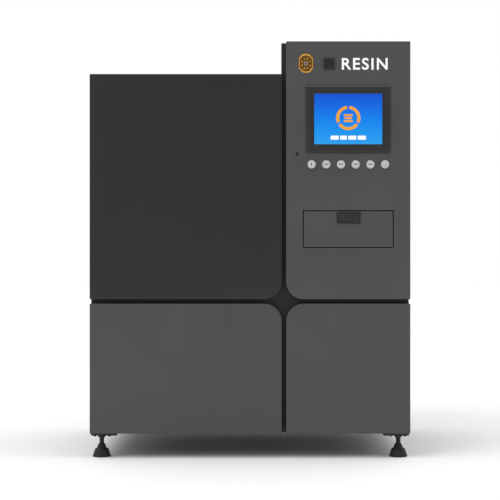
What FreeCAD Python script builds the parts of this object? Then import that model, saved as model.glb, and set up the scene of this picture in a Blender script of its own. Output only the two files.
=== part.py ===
"""Floor-standing resin printer: a sheet-metal cabinet with a vat chamber at the left and a control tower
at the right. Millimetres, +X right, +Y to the rear, +Z up, origin on the floor under the middle."""

import FreeCAD, Part
import math
import os

Vector = FreeCAD.Vector
X_AXIS = Vector(1, 0, 0)
Y_AXIS = Vector(0, 1, 0)
Z_AXIS = Vector(0, 0, 1)

# Cabinet outline, seen from the front
HALF_WIDTH = 710.0
BOTTOM = 110.0
LOW_TOP = 1702.0
TOWER_TOP = 1847.0
GAP = 20.0
GAP_X = 150.0
GAP_Z = 695.0
CORNER_R = 77.0
LEFT_EDGE = GAP_X - GAP / 2
RIGHT_EDGE = GAP_X + GAP / 2
UNDER_EDGE = GAP_Z - GAP / 2
OVER_EDGE = GAP_Z + GAP / 2

# Depths, front to rear
PROUD_Y = -580.0
FACE_Y = -570.0
DOOR_REAR_Y = -528.0
CARCASS_Y = -520.0
FRAME_REAR_Y = -480.0
PANEL_Y = 562.0
REAR_Y = 580.0
SHEET = 2.5
SKIN = 2.0

# Carcass
CARCASS_X = 708.0
SIDE_X = 705.0
PANEL_T = 18.0
INNER_X = SIDE_X - PANEL_T
PARTITION_X = 165.0
BASE_TOP = 163.0
ROOF_Z = 1700.0
TOWER_ROOF_Z = 1845.0

# Hinges
HINGE_X = 700.0
HINGE_Y = -534.0
KNUCKLE_R = 8.0
PIN_R = 4.0
FIT = 0.05
HINGE_H = 80.0

# Chamber door
PANE_T = 6.0
WINDOW = (-620.0, 50.0, 795.0, 1612.0)

# Tower front
MONITOR = (248.0, 622.0, 1353.0, 1654.0)
DISPLAY = (284.5, 585.5, 1391.0, 1617.0)
HOUSING = (262.0, 608.0, 1367.0, 1640.0)
HOUSING_REAR_Y = -500.0
BUTTON_Z = 1302.0
BUTTON_X0 = 272.5
BUTTON_PITCH = 65.0
BUTTON_COUNT = 6
RING_R = 19.0
RING_FRONT_Y = -576.5
BARREL_R = 17.0
CAP_R = 15.0
CAP_FRONT_Y = -579.0
POCKET = (234.0, 636.0, 932.0, 1099.0)
POCKET_REAR_Y = -532.0
FLAP_GAP = 4.0
FLAP_AXIS = (-568.0, 938.0)
FLAP_PIN_R = 1.9
FLAP_PIN_OUT = 4.0
LATCH = (384.0, 489.0, 1040.0, 1092.0)
LATCH_AXIS = (-573.2, 1083.5)
LATCH_PIN_R = 1.0
KEY_PITCH_X = 24.6
KEY_PITCH_Z = 23.5
LOCK_X = 208.0
LOCK_Z = 1349.0
BADGE_X = 247.6
BADGE_Z = 1748.6
BUZZER_X = 350.0
BUZZER_Z = 1747.0

# Feet
FOOT_X = 663.0
FOOT_Y = 495.0
PAD_R = 40.0
STEM_R = 10.5
MOUNT_Y = 480.0
MOUNT_T = 15.0

# Vat, platform and recoater
DECK_Z = 806.0
VAT_X = (-602.0, 42.0)
VAT_Y = (-372.0, 252.0)
VAT_FLOOR = 345.0
VAT_RIM = 815.0
PLATFORM_SIZE = 550.0
PLATFORM_CX = -280.0
PLATFORM_CY = -60.0
PLATFORM_TOP = 799.0
ARM_X = (-455.0, -105.0)
Z_RAIL_X = (-380.0, -180.0)
SCREW_Y = 300.0
NUT_R = 18.0
RECOAT_Y = -355.0
RECOAT_RAIL_X = (-642.0, 82.0)
RECOAT_SCREW = (115.0, 842.0)
OPTICS_Z = 1490.0

# Galvo mirrors: (x or y, z) of their shafts
MIRROR_X_AXIS = (-300.0, 1585.0)
MIRROR_Y_AXIS = (-60.0, 1540.0)

# Services
INLET = (420.0, 580.0, 240.0, 460.0)
EXHAUST_X = -350.0
EXHAUST_Y = 440.0
SPIGOT_R = 50.0


def box(x0, x1, y0, y1, z0, z1):
    """A solid box between two corners."""
    return Part.makeBox(x1 - x0, y1 - y0, z1 - z0, Vector(x0, y0, z0))


def rod(x, y, z, radius, length, axis=Z_AXIS):
    """A round bar that starts at a point and runs along an axis."""
    return Part.makeCylinder(radius, length, Vector(x, y, z), axis)


def cone(x, y, z, r0, r1, height):
    """An upright cone from radius r0 at the bottom to r1 at the top."""
    return Part.makeCone(r0, r1, height, Vector(x, y, z), Z_AXIS)


def fuse(shapes):
    """One shape out of several that meet or overlap."""
    first, rest = shapes[0], shapes[1:]
    return first.multiFuse(rest).removeSplitter() if rest else first


def group(shapes):
    """Separate solids kept side by side."""
    return Part.makeCompound(shapes)


def cassette(x0, x1, y0, y1, z0, z1, wall=SKIN):
    """A closed folded panel: a box with an empty inside."""
    inner = box(x0 + wall, x1 - wall, y0 + wall, y1 - wall, z0 + wall, z1 - wall)
    return box(x0, x1, y0, y1, z0, z1).cut(inner)


def welded_tubes(members, wall):
    """Square tubes given as overlapping boxes, welded into one hollow frame."""
    outer = fuse([box(*m) for m in members])
    inner = fuse(
        [
            box(m[0] + wall, m[1] - wall, m[2] + wall, m[3] - wall, m[4] + wall, m[5] - wall)
            for m in members
        ]
    )
    return outer.cut(inner)


def prism(points, y0, y1):
    """A closed outline of (x, z) points carried from y0 to y1."""
    corners = [Vector(x, y0, z) for x, z in points]
    face = Part.Face(Part.makePolygon(corners + corners[:1]))
    return face.extrude(Vector(0, y1 - y0, 0))


def prism_x(points, x0, x1):
    """A closed outline of (y, z) points carried from x0 to x1."""
    corners = [Vector(x0, y, z) for y, z in points]
    face = Part.Face(Part.makePolygon(corners + corners[:1]))
    return face.extrude(Vector(x1 - x0, 0, 0))


def corner_slab(x0, x1, z0, z1, corner, radius, y0, y1):
    """A slab in the XZ plane with one rounded corner, given as (0 or 1, 0 or 1) for right and top."""
    right, top = corner
    cx, cz = (x0, x1)[right], (z0, z1)[top]
    fx, fz = (x0, x1)[1 - right], (z0, z1)[1 - top]
    sx, sz = (1, -1)[right], (1, -1)[top]
    centre = Vector(cx + sx * radius, y0, cz + sz * radius)
    start = Vector(cx, y0, centre.z)
    end = Vector(centre.x, y0, cz)
    diagonal = radius * math.sqrt(0.5)
    middle = Vector(centre.x - sx * diagonal, y0, centre.z - sz * diagonal)
    far = [Vector(fx, y0, cz), Vector(fx, y0, fz), Vector(cx, y0, fz)]
    edges = [Part.Arc(start, middle, end).toShape()]
    route = [end] + far + [start]
    for a, b in zip(route, route[1:]):
        edges.append(Part.LineSegment(a, b).toShape())
    return Part.Face(Part.Wire(edges)).extrude(Vector(0, y1 - y0, 0))


def bevel_plate(x0, x1, z0, z1, y_back, y_front, bevel):
    """A plate whose front edges are bevelled at 45 degrees."""
    plate = box(x0, x1, y_front, y_back, z0, z1)
    front = [e for e in plate.Edges if all(abs(v.Y - y_front) < 1e-6 for v in e.Vertexes)]
    return plate.makeChamfer(bevel, front)


# ---- cabinet ----


def base_frame():
    """Welded floor frame of square tubes with a sheet floor on top and a bored block over each foot."""
    h = (BOTTOM, BASE_TOP - 3)
    x, y0, y1 = CARCASS_X, CARCASS_Y, REAR_Y - PANEL_T
    members = [
        (-x, x, y0, y0 + 80, *h),
        (-x, x, y1 - 80, y1, *h),
        (-x, -x + 60, y0, y1, *h),
        (x - 60, x, y0, y1, *h),
        (120, 180, y0, y1, *h),
    ]
    frame = welded_tubes(members, 4)
    floor = box(-x, x, y0, y1, BASE_TOP - 3, BASE_TOP)
    blocks = []
    bores = []
    for sx, sy in foot_places():
        blocks.append(box(sx - 25, sx + 25, sy - 25, sy + 25, BOTTOM + 1, BASE_TOP - 3))
        bores.append(rod(sx, sy, BOTTOM - 1, STEM_R + 0.5, BASE_TOP - BOTTOM - 3))
    return frame.multiFuse([floor] + blocks).cut(group(bores))


def foot_places():
    """The four foot axes."""
    return [(sx * FOOT_X, sy * FOOT_Y) for sy in (-1, 1) for sx in (-1, 1)]


def foot_mounts():
    """A bolted plate and a tapered jam nut round each foot's stem."""
    solids = []
    under = BOTTOM - MOUNT_T
    for x, y in foot_places():
        side = math.copysign(1, x)
        middle = math.copysign(MOUNT_Y, y)
        x_in, x_out = sorted((side * (HALF_WIDTH - 115), side * HALF_WIDTH))
        plate = box(x_in, x_out, middle - 40, middle + 40, under, BOTTOM)
        nut = cone(x, y, under - 11, 12.5, 20, 11)
        bore = rod(x, y, under - 20, STEM_R + FIT, 40)
        solids.append(plate.fuse(nut).cut(bore))
        for dx in (-35, 30):
            for dy in (-25, 25):
                solids.append(rod(x + dx * side, middle + dy, under - 5, 6.5, 5))
    return group(solids)


def foot(x, y):
    """Levelling foot: threaded stem, collar with a conical neck and a flared pad."""
    pad = cone(x, y, 0, PAD_R, 30, 37)
    neck = rod(x, y, 37, 20, 11).fuse(cone(x, y, 48, 20, 13, 11))
    stem = rod(x, y, 58, STEM_R, 90)
    return fuse([pad, neck, stem])


def front_frame():
    """Face frame of hollow stiles and rails that the doors close against."""
    y = (CARCASS_Y, FRAME_REAR_Y)
    x = CARCASS_X
    members = [
        (-x, -650, *y, BASE_TOP, ROOF_Z),
        (90, 210, *y, BASE_TOP, ROOF_Z),
        (LEFT_EDGE, 210, *y, ROOF_Z - 60, TOWER_ROOF_Z),
        (660, x, *y, BASE_TOP, TOWER_ROOF_Z),
        (-x, x, *y, GAP_Z - 50, GAP_Z + 50),
        (-x, 210, *y, ROOF_Z - 50, ROOF_Z),
        (LEFT_EDGE, x, *y, TOWER_ROOF_Z - 55, TOWER_ROOF_Z),
        (-x, x, *y, BASE_TOP, BASE_TOP + 24),
    ]
    return welded_tubes(members, 3)


def side_panel(side):
    """Folded outer side panel; the left one is as low as the chamber roof."""
    top = TOWER_ROOF_Z if side > 0 else ROOF_Z
    x0, x1 = sorted((side * INNER_X, side * SIDE_X))
    return cassette(x0, x1, FRAME_REAR_Y, PANEL_Y, BASE_TOP, top)


def partition_wall():
    """Wall between chamber and tower; above the chamber roof it is the tower's outer left side."""
    top = TOWER_ROOF_Z - PANEL_T
    return cassette(PARTITION_X, PARTITION_X + PANEL_T, FRAME_REAR_Y, PANEL_Y, BASE_TOP, top)


def chamber_roof():
    """Roof over the chamber with the exhaust opening at the rear."""
    roof = cassette(-INNER_X, PARTITION_X, FRAME_REAR_Y, PANEL_Y, ROOF_Z - PANEL_T, ROOF_Z)
    port = (EXHAUST_X, EXHAUST_Y)
    sleeve = rod(*port, ROOF_Z - PANEL_T, 52, PANEL_T)
    return roof.fuse(sleeve).cut(rod(*port, ROOF_Z - 30, 48, 60))


def tower_roof():
    """Roof of the tower."""
    z = (TOWER_ROOF_Z - PANEL_T, TOWER_ROOF_Z)
    return cassette(PARTITION_X, INNER_X, FRAME_REAR_Y, PANEL_Y, *z)


def rear_panels():
    """Two folded rear panels; the tower's has a window for the power inlet."""
    left = cassette(-SIDE_X, PARTITION_X - 1, PANEL_Y, REAR_Y, BOTTOM, ROOF_Z)
    right = cassette(PARTITION_X, SIDE_X, PANEL_Y, REAR_Y, BOTTOM, TOWER_ROOF_Z)
    x0, x1, z0, z1 = INLET
    ring = box(x0 - SKIN, x1 + SKIN, PANEL_Y, REAR_Y, z0 - SKIN, z1 + SKIN)
    right = right.fuse(ring).cut(box(x0, x1, PANEL_Y - 1, REAR_Y + 1, z0, z1))
    return group([left, right])


def hinge_places():
    """Every hinge as (side, height of its bottom end)."""
    low = [(s, z) for s in (-1, 1) for z in (190.0, 540.0)]
    chamber = [(-1, z) for z in (790.0, 1170.0, 1550.0)]
    tower = [(1, z) for z in (790.0, 1250.0, 1690.0)]
    return low + chamber + tower


def hinge_blocks():
    """Fixed halves of the door hinges: a knuckle, its web to the frame and the pin above it."""
    solids = []
    for side, z in hinge_places():
        x = side * HINGE_X
        knuckle = rod(x, HINGE_Y, z, KNUCKLE_R, HINGE_H / 2)
        web = box(x - 6, x + 6, HINGE_Y, CARCASS_Y, z, z + HINGE_H / 2)
        pin = rod(x, HINGE_Y, z, PIN_R, HINGE_H - 1)
        solids.append(fuse([knuckle, web, pin]))
    return group(solids)


def moving_leaf(side, z):
    """Moving half of a hinge: a bored knuckle and the leaf that joins it to the door."""
    x = side * HINGE_X
    z0, z1 = z + HINGE_H / 2 + 0.5, z + HINGE_H
    knuckle = rod(x, HINGE_Y, z0, KNUCKLE_R, z1 - z0)
    x0, x1 = sorted((x, side * (HINGE_X - 19)))
    leaf = box(x0, x1, HINGE_Y - 6, HINGE_Y, z0, z1)
    return knuckle.fuse(leaf).cut(rod(x, HINGE_Y, z0 - 1, PIN_R + FIT, HINGE_H))


def with_hinges(door, side, z_from, z_to):
    """Cut a pocket in the door's hinge edge for each hinge, box it in, and add the moving leaves."""
    edge_in, edge_out = side * (HINGE_X - 18), side * (HALF_WIDTH + 1)
    walls = []
    notches = []
    leaves = []
    for s, z in hinge_places():
        if s != side or not z_from < z < z_to:
            continue
        x0, x1 = sorted((edge_in, edge_out))
        w0, w1 = sorted((edge_in - side * SHEET, side * HALF_WIDTH))
        notches.append(box(x0, x1, HINGE_Y - 18, DOOR_REAR_Y + 1, z - 2, z + HINGE_H + 2))
        walls.append(box(w0, w1, HINGE_Y - 20, DOOR_REAR_Y, z - 4.5, z + HINGE_H + 4.5))
        leaves.append(moving_leaf(side, z))
    return door.multiFuse(walls).cut(group(notches)).multiFuse(leaves)


def tray(x0, x1, z0, z1, corner, y_front=FACE_Y):
    """A closed door tray of folded sheet with one rounded corner."""
    outer = corner_slab(x0, x1, z0, z1, corner, CORNER_R, y_front, DOOR_REAR_Y)
    t = SHEET
    y = (y_front + t, DOOR_REAR_Y - t)
    inner = corner_slab(x0 + t, x1 - t, z0 + t, z1 - t, corner, CORNER_R - t, *y)
    return outer.cut(inner)


def lower_left_door():
    """Lower left door with its corner rounded towards the crossing of the gaps."""
    door = tray(-HALF_WIDTH, LEFT_EDGE, BOTTOM, UNDER_EDGE, (1, 1))
    return with_hinges(door, -1, BOTTOM, UNDER_EDGE)


def lower_right_door():
    """Lower right door, the narrow one."""
    door = tray(RIGHT_EDGE, HALF_WIDTH, BOTTOM, UNDER_EDGE, (0, 1))
    return with_hinges(door, 1, BOTTOM, UNDER_EDGE)


def chamber_door_frame():
    """Steel frame behind the full-size pane, with a large window opening."""
    door = tray(-HALF_WIDTH, LEFT_EDGE, OVER_EDGE, LOW_TOP, (1, 0), FACE_Y + PANE_T)
    x0, x1, z0, z1 = WINDOW
    y = (FACE_Y + PANE_T, DOOR_REAR_Y)
    ring = box(x0 - SHEET, x1 + SHEET, *y, z0 - SHEET, z1 + SHEET)
    door = door.fuse(ring).cut(box(x0, x1, y[0] - 1, y[1] + 1, z0, z1))
    return with_hinges(door, -1, OVER_EDGE, LOW_TOP)


def chamber_door_pane():
    """Smoked acrylic pane bonded over the whole front of the chamber door."""
    edges = (-HALF_WIDTH, LEFT_EDGE, OVER_EDGE, LOW_TOP)
    return corner_slab(*edges, (1, 0), CORNER_R, FACE_Y, FACE_Y + PANE_T)


# ---- tower door ----


def button_places():
    """Button centres along the row."""
    return [BUTTON_X0 + BUTTON_PITCH * i for i in range(BUTTON_COUNT)]


def tower_door():
    """Tall door of the control tower, boxed in round the monitor, the keyboard pocket and the buttons."""
    door = tray(RIGHT_EDGE, HALF_WIDTH, OVER_EDGE, TOWER_TOP, (0, 0))
    y = (FACE_Y, DOOR_REAR_Y)
    adds = []
    cuts = []
    x0, x1, z0, z1 = HOUSING
    adds.append(box(x0 - SHEET, x1 + SHEET, *y, z0 - SHEET, z1 + SHEET))
    cuts.append(box(x0, x1, y[0] - 1, y[1] + 1, z0, z1))
    x0, x1, z0, z1 = POCKET
    adds.append(box(x0 - SHEET, x1 + SHEET, *y, z0 - SHEET, z1 + SHEET))
    cuts.append(box(x0, x1, y[0] - 1, POCKET_REAR_Y, z0, z1))
    for x in (x0 - FLAP_PIN_OUT - 1, x1 - 1):
        cuts.append(rod(x, FLAP_AXIS[0], FLAP_AXIS[1], FLAP_PIN_R + FIT, FLAP_PIN_OUT + 2, X_AXIS))
    for x in button_places():
        cuts.append(rod(x, FACE_Y - 1, BUTTON_Z, BARREL_R + 0.2, 6, Y_AXIS))
    cuts.append(rod(LOCK_X, FACE_Y - 1, LOCK_Z, 7.8, 6, Y_AXIS))
    cuts.append(rod(BUZZER_X, FACE_Y - 1, BUZZER_Z, 20, 6, Y_AXIS))
    door = door.multiFuse(adds).cut(group(cuts))
    return with_hinges(door, 1, OVER_EDGE, TOWER_TOP)


def monitor_housing():
    """Bevelled bezel proud of the door, with the sheet housing of the touch display behind it."""
    bezel = bevel_plate(*MONITOR, FACE_Y, PROUD_Y, 6)
    x0, x1, z0, z1 = HOUSING
    body = box(x0 + 0.5, x1 - 0.5, FACE_Y, HOUSING_REAR_Y, z0 + 0.5, z1 - 0.5)
    inside = box(x0 + 3, x1 - 3, FACE_Y + 6, HOUSING_REAR_Y - 2, z0 + 3, z1 - 3)
    u0, u1, w0, w1 = DISPLAY
    seat = box(u0 - 4, u1 + 4, FACE_Y - 4, FACE_Y + 2, w0 - 4, w1 + 4)
    opening = box(u0, u1, PROUD_Y - 1, FACE_Y, w0, w1)
    cable_port = box(u0, u1, FACE_Y, FACE_Y + 8, w0, w1)
    return bezel.fuse(body).cut(inside).cut(seat).cut(opening).cut(cable_port)


def monitor_display():
    """Touch display glass seated behind the bezel's opening."""
    u0, u1, w0, w1 = DISPLAY
    return box(u0 - 3.7, u1 + 3.7, FACE_Y - 4, FACE_Y + 2, w0 - 3.7, w1 + 3.7)


def button_bezels():
    """Round button rings with their switch barrels through the door skin."""
    solids = []
    for x in button_places():
        ring = Part.makeCone(RING_R - 2, RING_R, 3, Vector(x, RING_FRONT_Y, BUTTON_Z), Y_AXIS)
        ring = ring.fuse(rod(x, RING_FRONT_Y + 3, BUTTON_Z, RING_R, 3.5, Y_AXIS))
        barrel = rod(x, FACE_Y, BUTTON_Z, BARREL_R, 34, Y_AXIS)
        bore = rod(x, RING_FRONT_Y - 0.5, BUTTON_Z, CAP_R + 0.4, 38, Y_AXIS)
        solids.append(ring.fuse(barrel).cut(bore))
    return group(solids)


def button_cap(x):
    """Push button cap with a softened front edge."""
    cap = rod(x, CAP_FRONT_Y, BUTTON_Z, CAP_R, 30, Y_AXIS)
    front = [e for e in cap.Edges if e.Closed and all(abs(v.Y - CAP_FRONT_Y) < 1e-6 for v in e.Vertexes)]
    return cap.makeFillet(1.5, front)


def keyboard_flap():
    """Drop-down flap with rolled hinge pins at its lower edge and a raised surround for the latch."""
    x0, x1, z0, z1 = POCKET
    g = FLAP_GAP
    plate = box(x0 + g, x1 - g, FACE_Y, FACE_Y + 4, z0 + g, z1 - g)
    u0, u1, w0, w1 = LATCH
    surround = bevel_plate(u0, u1, w0, w1, FACE_Y, FACE_Y - 5, 1.5)
    recess = box(u0 + 4, u1 - 4, FACE_Y - 6, FACE_Y - 1, w0 + 4, w1 - 4)
    pin_bore = rod(u0 + 2, LATCH_AXIS[0], LATCH_AXIS[1], LATCH_PIN_R + FIT, u1 - u0 - 4, X_AXIS)
    flap = plate.fuse(surround).cut(recess).cut(pin_bore)
    length = FLAP_PIN_OUT + g + 2
    starts = (x0 - FLAP_PIN_OUT, x1 - g - 2)
    pins = [rod(x, FLAP_AXIS[0], FLAP_AXIS[1], FLAP_PIN_R, length, X_AXIS) for x in starts]
    return flap.multiFuse(pins)


def keyboard():
    """Compact keyboard fixed to the inside of the flap, its key rows as raised blocks."""
    base = box(258, 612, -566, -554, 946, 1074)
    keys = []
    for row in range(5):
        z = 952 + row * KEY_PITCH_Z
        for column in range(14):
            x = 264 + column * KEY_PITCH_X
            keys.append(box(x, x + 21, -554, -549, z, z + 20))
    return group([base] + keys)


def flap_latch():
    """Paddle of the flap's latch, hung on a pin along its top edge."""
    u0, u1, w0, w1 = LATCH
    paddle = bevel_plate(u0 + 5, u1 - 5, w0 + 5, w1 - 6, FACE_Y - 2.5, FACE_Y - 7, 1.2)
    grip = box(u0 + 15, u1 - 15, FACE_Y - 8.5, FACE_Y - 7, w0 + 9, w0 + 15)
    pin = rod(u0 + 2.5, LATCH_AXIS[0], LATCH_AXIS[1], LATCH_PIN_R, u1 - u0 - 5, X_AXIS)
    return fuse([paddle, grip, pin])


def lock_cylinder():
    """Quarter-turn lock: a plug with a key slot and a cam behind the door skin."""
    plug = rod(LOCK_X, FACE_Y - 1, LOCK_Z, 7.5, 26, Y_AXIS)
    slot = box(LOCK_X - 1.5, LOCK_X + 1.5, FACE_Y - 2, FACE_Y + 8, LOCK_Z - 5.5, LOCK_Z + 5.5)
    cam = box(LOCK_X - 6, LOCK_X + 6, FACE_Y + 25, FACE_Y + 29, LOCK_Z - 6, LOCK_Z + 26)
    return plug.cut(slot).fuse(cam)


def badge_plate():
    """Generic eight-sided plaque with a raised rim."""
    w, h, c = 34.0, 44.0, 14.0
    lower = [(-w, c - h), (c - w, -h), (w - c, -h), (w, c - h)]
    outline = lower + [(w, h - c), (w - c, h), (c - w, h), (-w, h - c)]
    plate = prism([(BADGE_X + x, BADGE_Z + z) for x, z in outline], FACE_Y - 4, FACE_Y)
    dish = [(BADGE_X + x * 0.88, BADGE_Z + z * 0.9) for x, z in outline]
    return plate.cut(prism(dish, FACE_Y - 5, FACE_Y - 2.5))


def buzzer_grille():
    """Square alarm buzzer: a slotted grille with its capsule behind the door skin."""
    half = 25.5
    x, z = (BUZZER_X - half, BUZZER_X + half), (BUZZER_Z - half, BUZZER_Z + half)
    grille = bevel_plate(*x, *z, FACE_Y, FACE_Y - 5, 2)
    slots = []
    for i in range(7):
        middle = BUZZER_Z - 18 + i * 6
        slots.append(box(BUZZER_X - 18, BUZZER_X + 18, FACE_Y - 6, FACE_Y - 2, middle - 1.2, middle + 1.2))
    capsule = rod(BUZZER_X, FACE_Y, BUZZER_Z, 19.5, 22, Y_AXIS)
    return grille.cut(group(slots)).fuse(capsule)


# ---- chamber ----


def chamber_deck():
    """Deck of the build chamber with the opening that the vat hangs in."""
    deck = box(-INNER_X, PARTITION_X, FRAME_REAR_Y, PANEL_Y, DECK_Z - 6, DECK_Z)
    return deck.cut(box(VAT_X[0] - 8, VAT_X[1] + 8, VAT_Y[0] - 8, VAT_Y[1] + 8, DECK_Z - 7, DECK_Z + 1))


def resin_vat():
    """Stainless resin vat, open at the top, with a flange that rests on the deck."""
    (x0, x1), (y0, y1) = VAT_X, VAT_Y
    outer = box(x0 - 6, x1 + 6, y0 - 6, y1 + 6, VAT_FLOOR, VAT_RIM)
    flange = box(x0 - 22, x1 + 20, y0 - 20, y1 + 20, DECK_Z, VAT_RIM)
    return outer.fuse(flange).cut(box(x0, x1, y0, y1, VAT_FLOOR + 6, VAT_RIM + 1))


def vat_stand():
    """Two closed support beams across the floor under the vat."""
    return group([cassette(-600, 40, y - 30, y + 30, BASE_TOP, VAT_FLOOR, 4) for y in (-290, 170)])


def build_platform():
    """Perforated platform plate that the parts are printed on."""
    half = PLATFORM_SIZE / 2
    cx, cy = PLATFORM_CX, PLATFORM_CY
    plate = box(cx - half, cx + half, cy - half, cy + half, PLATFORM_TOP - 12, PLATFORM_TOP)
    pitch = 50.0
    holes = []
    for i in range(11):
        for j in range(10):
            x = cx + (i - 5) * pitch
            y = cy - half + 25 + j * pitch
            holes.append(rod(x, y, PLATFORM_TOP - 13, 6, 14))
    return plate.cut(group(holes))


def z_carriage():
    """Lift carriage: a bridge on four rail blocks, a nut on the screw, and two bolted arms whose feet hold
    the platform from below."""
    bridge = box(-520, -40, 243, 285, 1250, 1400)
    parts = [bridge]
    under = PLATFORM_TOP - 12
    hangers = []
    for x in ARM_X:
        arm = box(x - 15, x + 15, 225, 243, under, 1390)
        rib = prism_x([(225, 900), (217, 820), (225, under)], x - 4, x + 4)
        hangers += [arm.fuse(rib), box(x - 15, x + 15, 120, 243, under - 12, under)]
    for x in Z_RAIL_X:
        for z in (1262, 1338):
            parts.append(box(x - 24, x + 24, 285, 315, z, z + 50))
    parts.append(rod(PLATFORM_CX, SCREW_Y, 1290, NUT_R, 70))
    parts.append(box(PLATFORM_CX - NUT_R, PLATFORM_CX + NUT_R, 284, SCREW_Y, 1290, 1360))
    carriage = fuse(parts)
    cuts = [rod(PLATFORM_CX, SCREW_Y, 1240, 10 + FIT, 200)]
    for x in Z_RAIL_X:
        cuts.append(box(x - 10.3, x + 10.3, 299.7, 320, 1240, 1400))
    return group([carriage.cut(group(cuts))] + hangers)


def z_column():
    """Column behind the vat: a thick plate on a box section, with two bearing blocks for the screw."""
    plate = box(-430, -130, 320, 345, DECK_Z, 1478)
    spine = cassette(-400, -160, 345, 430, DECK_Z, 1478, 6)
    cx = PLATFORM_CX
    blocks = [box(cx - 30, cx + 30, 272, 320, z, z + 24) for z in (822, 1404)]
    column = plate.multiFuse([spine] + blocks)
    return column.cut(rod(cx, SCREW_Y, 815, 10 + FIT, 630))


def z_screw():
    """Ball screw of the lift."""
    return rod(PLATFORM_CX, SCREW_Y, 824, 10, 614)


def linear_rails():
    """Guide rails: two upright ones for the lift and two along the deck for the recoater."""
    rails = [box(x - 10, x + 10, 300, 320, 850, 1402) for x in Z_RAIL_X]
    for x in RECOAT_RAIL_X:
        rails.append(box(x - 10, x + 10, -450, 270, DECK_Z, DECK_Z + 24))
    return group(rails)


def recoater_carriage():
    """Recoater: a beam over the vat on two rail shoes, a hollow blade under it and a nut at the right."""
    y = RECOAT_Y
    rail_left, rail_right = RECOAT_RAIL_X
    beam = box(rail_left - 22, rail_right + 22, y - 18, y + 18, 862, 892)
    parts = [beam, box(-575, 15, y - 10, y + 10, 812, 862)]
    parts.append(prism_x([(y - 10, 812), (y - 3, 801), (y + 3, 801), (y + 10, 812)], -575, 15))
    for x in RECOAT_RAIL_X:
        parts.append(box(x - 22, x + 22, y - 30, y + 30, DECK_Z + 12, 864))
    sx, sz = RECOAT_SCREW
    parts.append(rod(sx, y - 25, sz, 16, 50, Y_AXIS))
    parts.append(box(100, sx, y - 25, y + 25, sz - 10, sz + 10))
    cuts = [rod(sx, y - 40, sz, 8 + FIT, 80, Y_AXIS)]
    for x in RECOAT_RAIL_X:
        cuts.append(box(x - 10.3, x + 10.3, y - 40, y + 40, DECK_Z, DECK_Z + 24.3))
    return fuse(parts).cut(group(cuts))


def recoater_screw():
    """Lead screw of the recoater."""
    sx, sz = RECOAT_SCREW
    return rod(sx, -440, sz, 8, 732, Y_AXIS)


def servo_motors():
    """Motors of the lift and of the recoater, with the recoater screw's two bearing blocks."""
    cx = PLATFORM_CX
    lift = box(cx - 30, cx + 30, 262, 318, 1438, 1477).cut(rod(cx, SCREW_Y, 1437, 10.5, 2))
    sx, sz = RECOAT_SCREW
    drive = box(sx - 28, sx + 28, 292.5, 380, DECK_Z, 870)
    shaft_cap = box(sx - 20, sx + 20, 380, 420, DECK_Z, 862)
    blocks = [box(sx - 20, sx + 20, y, y + 14, DECK_Z, 866) for y in (-440, 270)]
    bore = rod(sx, -445, sz, 8 + FIT, 737.4, Y_AXIS)
    return group([lift, drive.fuse(shaft_cap)] + [b.cut(bore) for b in blocks])


def optics_plate():
    """Sealed plate over the chamber that carries the laser optics, with the scan opening."""
    z = (OPTICS_Z - 10, OPTICS_Z)
    plate = box(-INNER_X, PARTITION_X, FRAME_REAR_Y, PANEL_Y, *z)
    cx, cy = PLATFORM_CX, PLATFORM_CY
    hole = rod(cx, cy, OPTICS_Z - 11, 80, 12)
    seat = rod(cx, cy, OPTICS_Z - 4, 90.3, 5)
    return plate.cut(hole).cut(seat)


def scan_window():
    """Coated glass disc that closes the scan opening."""
    return rod(PLATFORM_CX, PLATFORM_CY, OPTICS_Z - 4, 90, 4)


def galvo_head():
    """Scan head: a housing open at the bottom, with two motor bodies whose shafts carry the mirrors."""
    x, y, z = PLATFORM_CX, PLATFORM_CY, OPTICS_Z
    house = box(x - 75, x + 75, y - 75, y + 75, z, z + 140)
    room = box(x - 65, x + 65, y - 65, y + 65, z - 1, z + 130)
    beam_port = rod(x - 80, y, MIRROR_X_AXIS[1], 12, 30, X_AXIS)
    house = house.cut(room).cut(beam_port)
    mx, mz = MIRROR_X_AXIS
    my, wz = MIRROR_Y_AXIS
    motor_a = rod(mx, y + 40, mz, 14, 95, Y_AXIS)
    motor_b = rod(x + 40, my, wz, 14, 95, X_AXIS)
    head = house.multiFuse([motor_a, motor_b])
    bore_a = rod(mx, y + 39, mz, 4 + FIT, 31, Y_AXIS)
    bore_b = rod(x + 39, my, wz, 4 + FIT, 31, X_AXIS)
    return head.cut(group([bore_a, bore_b]))


def galvo_mirror_x():
    """First scan mirror on a shaft along Y, set at 45 degrees to the beam."""
    mx, mz = MIRROR_X_AXIS
    y = PLATFORM_CY
    mirror = box(mx - 13, mx + 13, y - 15, y + 15, mz - 1.5, mz + 1.5)
    mirror.rotate(Vector(mx, y, mz), Y_AXIS, -45)
    return mirror.fuse(rod(mx, y - 4, mz, 4, 70, Y_AXIS))


def galvo_mirror_y():
    """Second scan mirror on a shaft along X, which turns the beam down through the window."""
    my, wz = MIRROR_Y_AXIS
    x = PLATFORM_CX
    mirror = box(x - 38, x + 20, my - 13, my + 13, wz - 1.5, wz + 1.5)
    mirror.rotate(Vector(x, my, wz), X_AXIS, 12)
    return mirror.fuse(rod(x + 10, my, wz, 4, 56, X_AXIS))


def laser_head():
    """Ultraviolet laser with its beam tube to the scan head."""
    z = OPTICS_Z
    y = PLATFORM_CY
    body = box(-660, -440, y - 60, y + 60, z, z + 130)
    tube = rod(-440, y, MIRROR_X_AXIS[1], 20, 85, X_AXIS)
    foot_plate = box(-430, -390, y - 30, y + 30, z, z + 12)
    post = box(-420, -400, y - 12, y + 12, z + 12, MIRROR_X_AXIS[1] - 18)
    tube = tube.cut(rod(-441, y, MIRROR_X_AXIS[1], 10, 87, X_AXIS))
    return fuse([body, tube, foot_plate, post])


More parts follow.
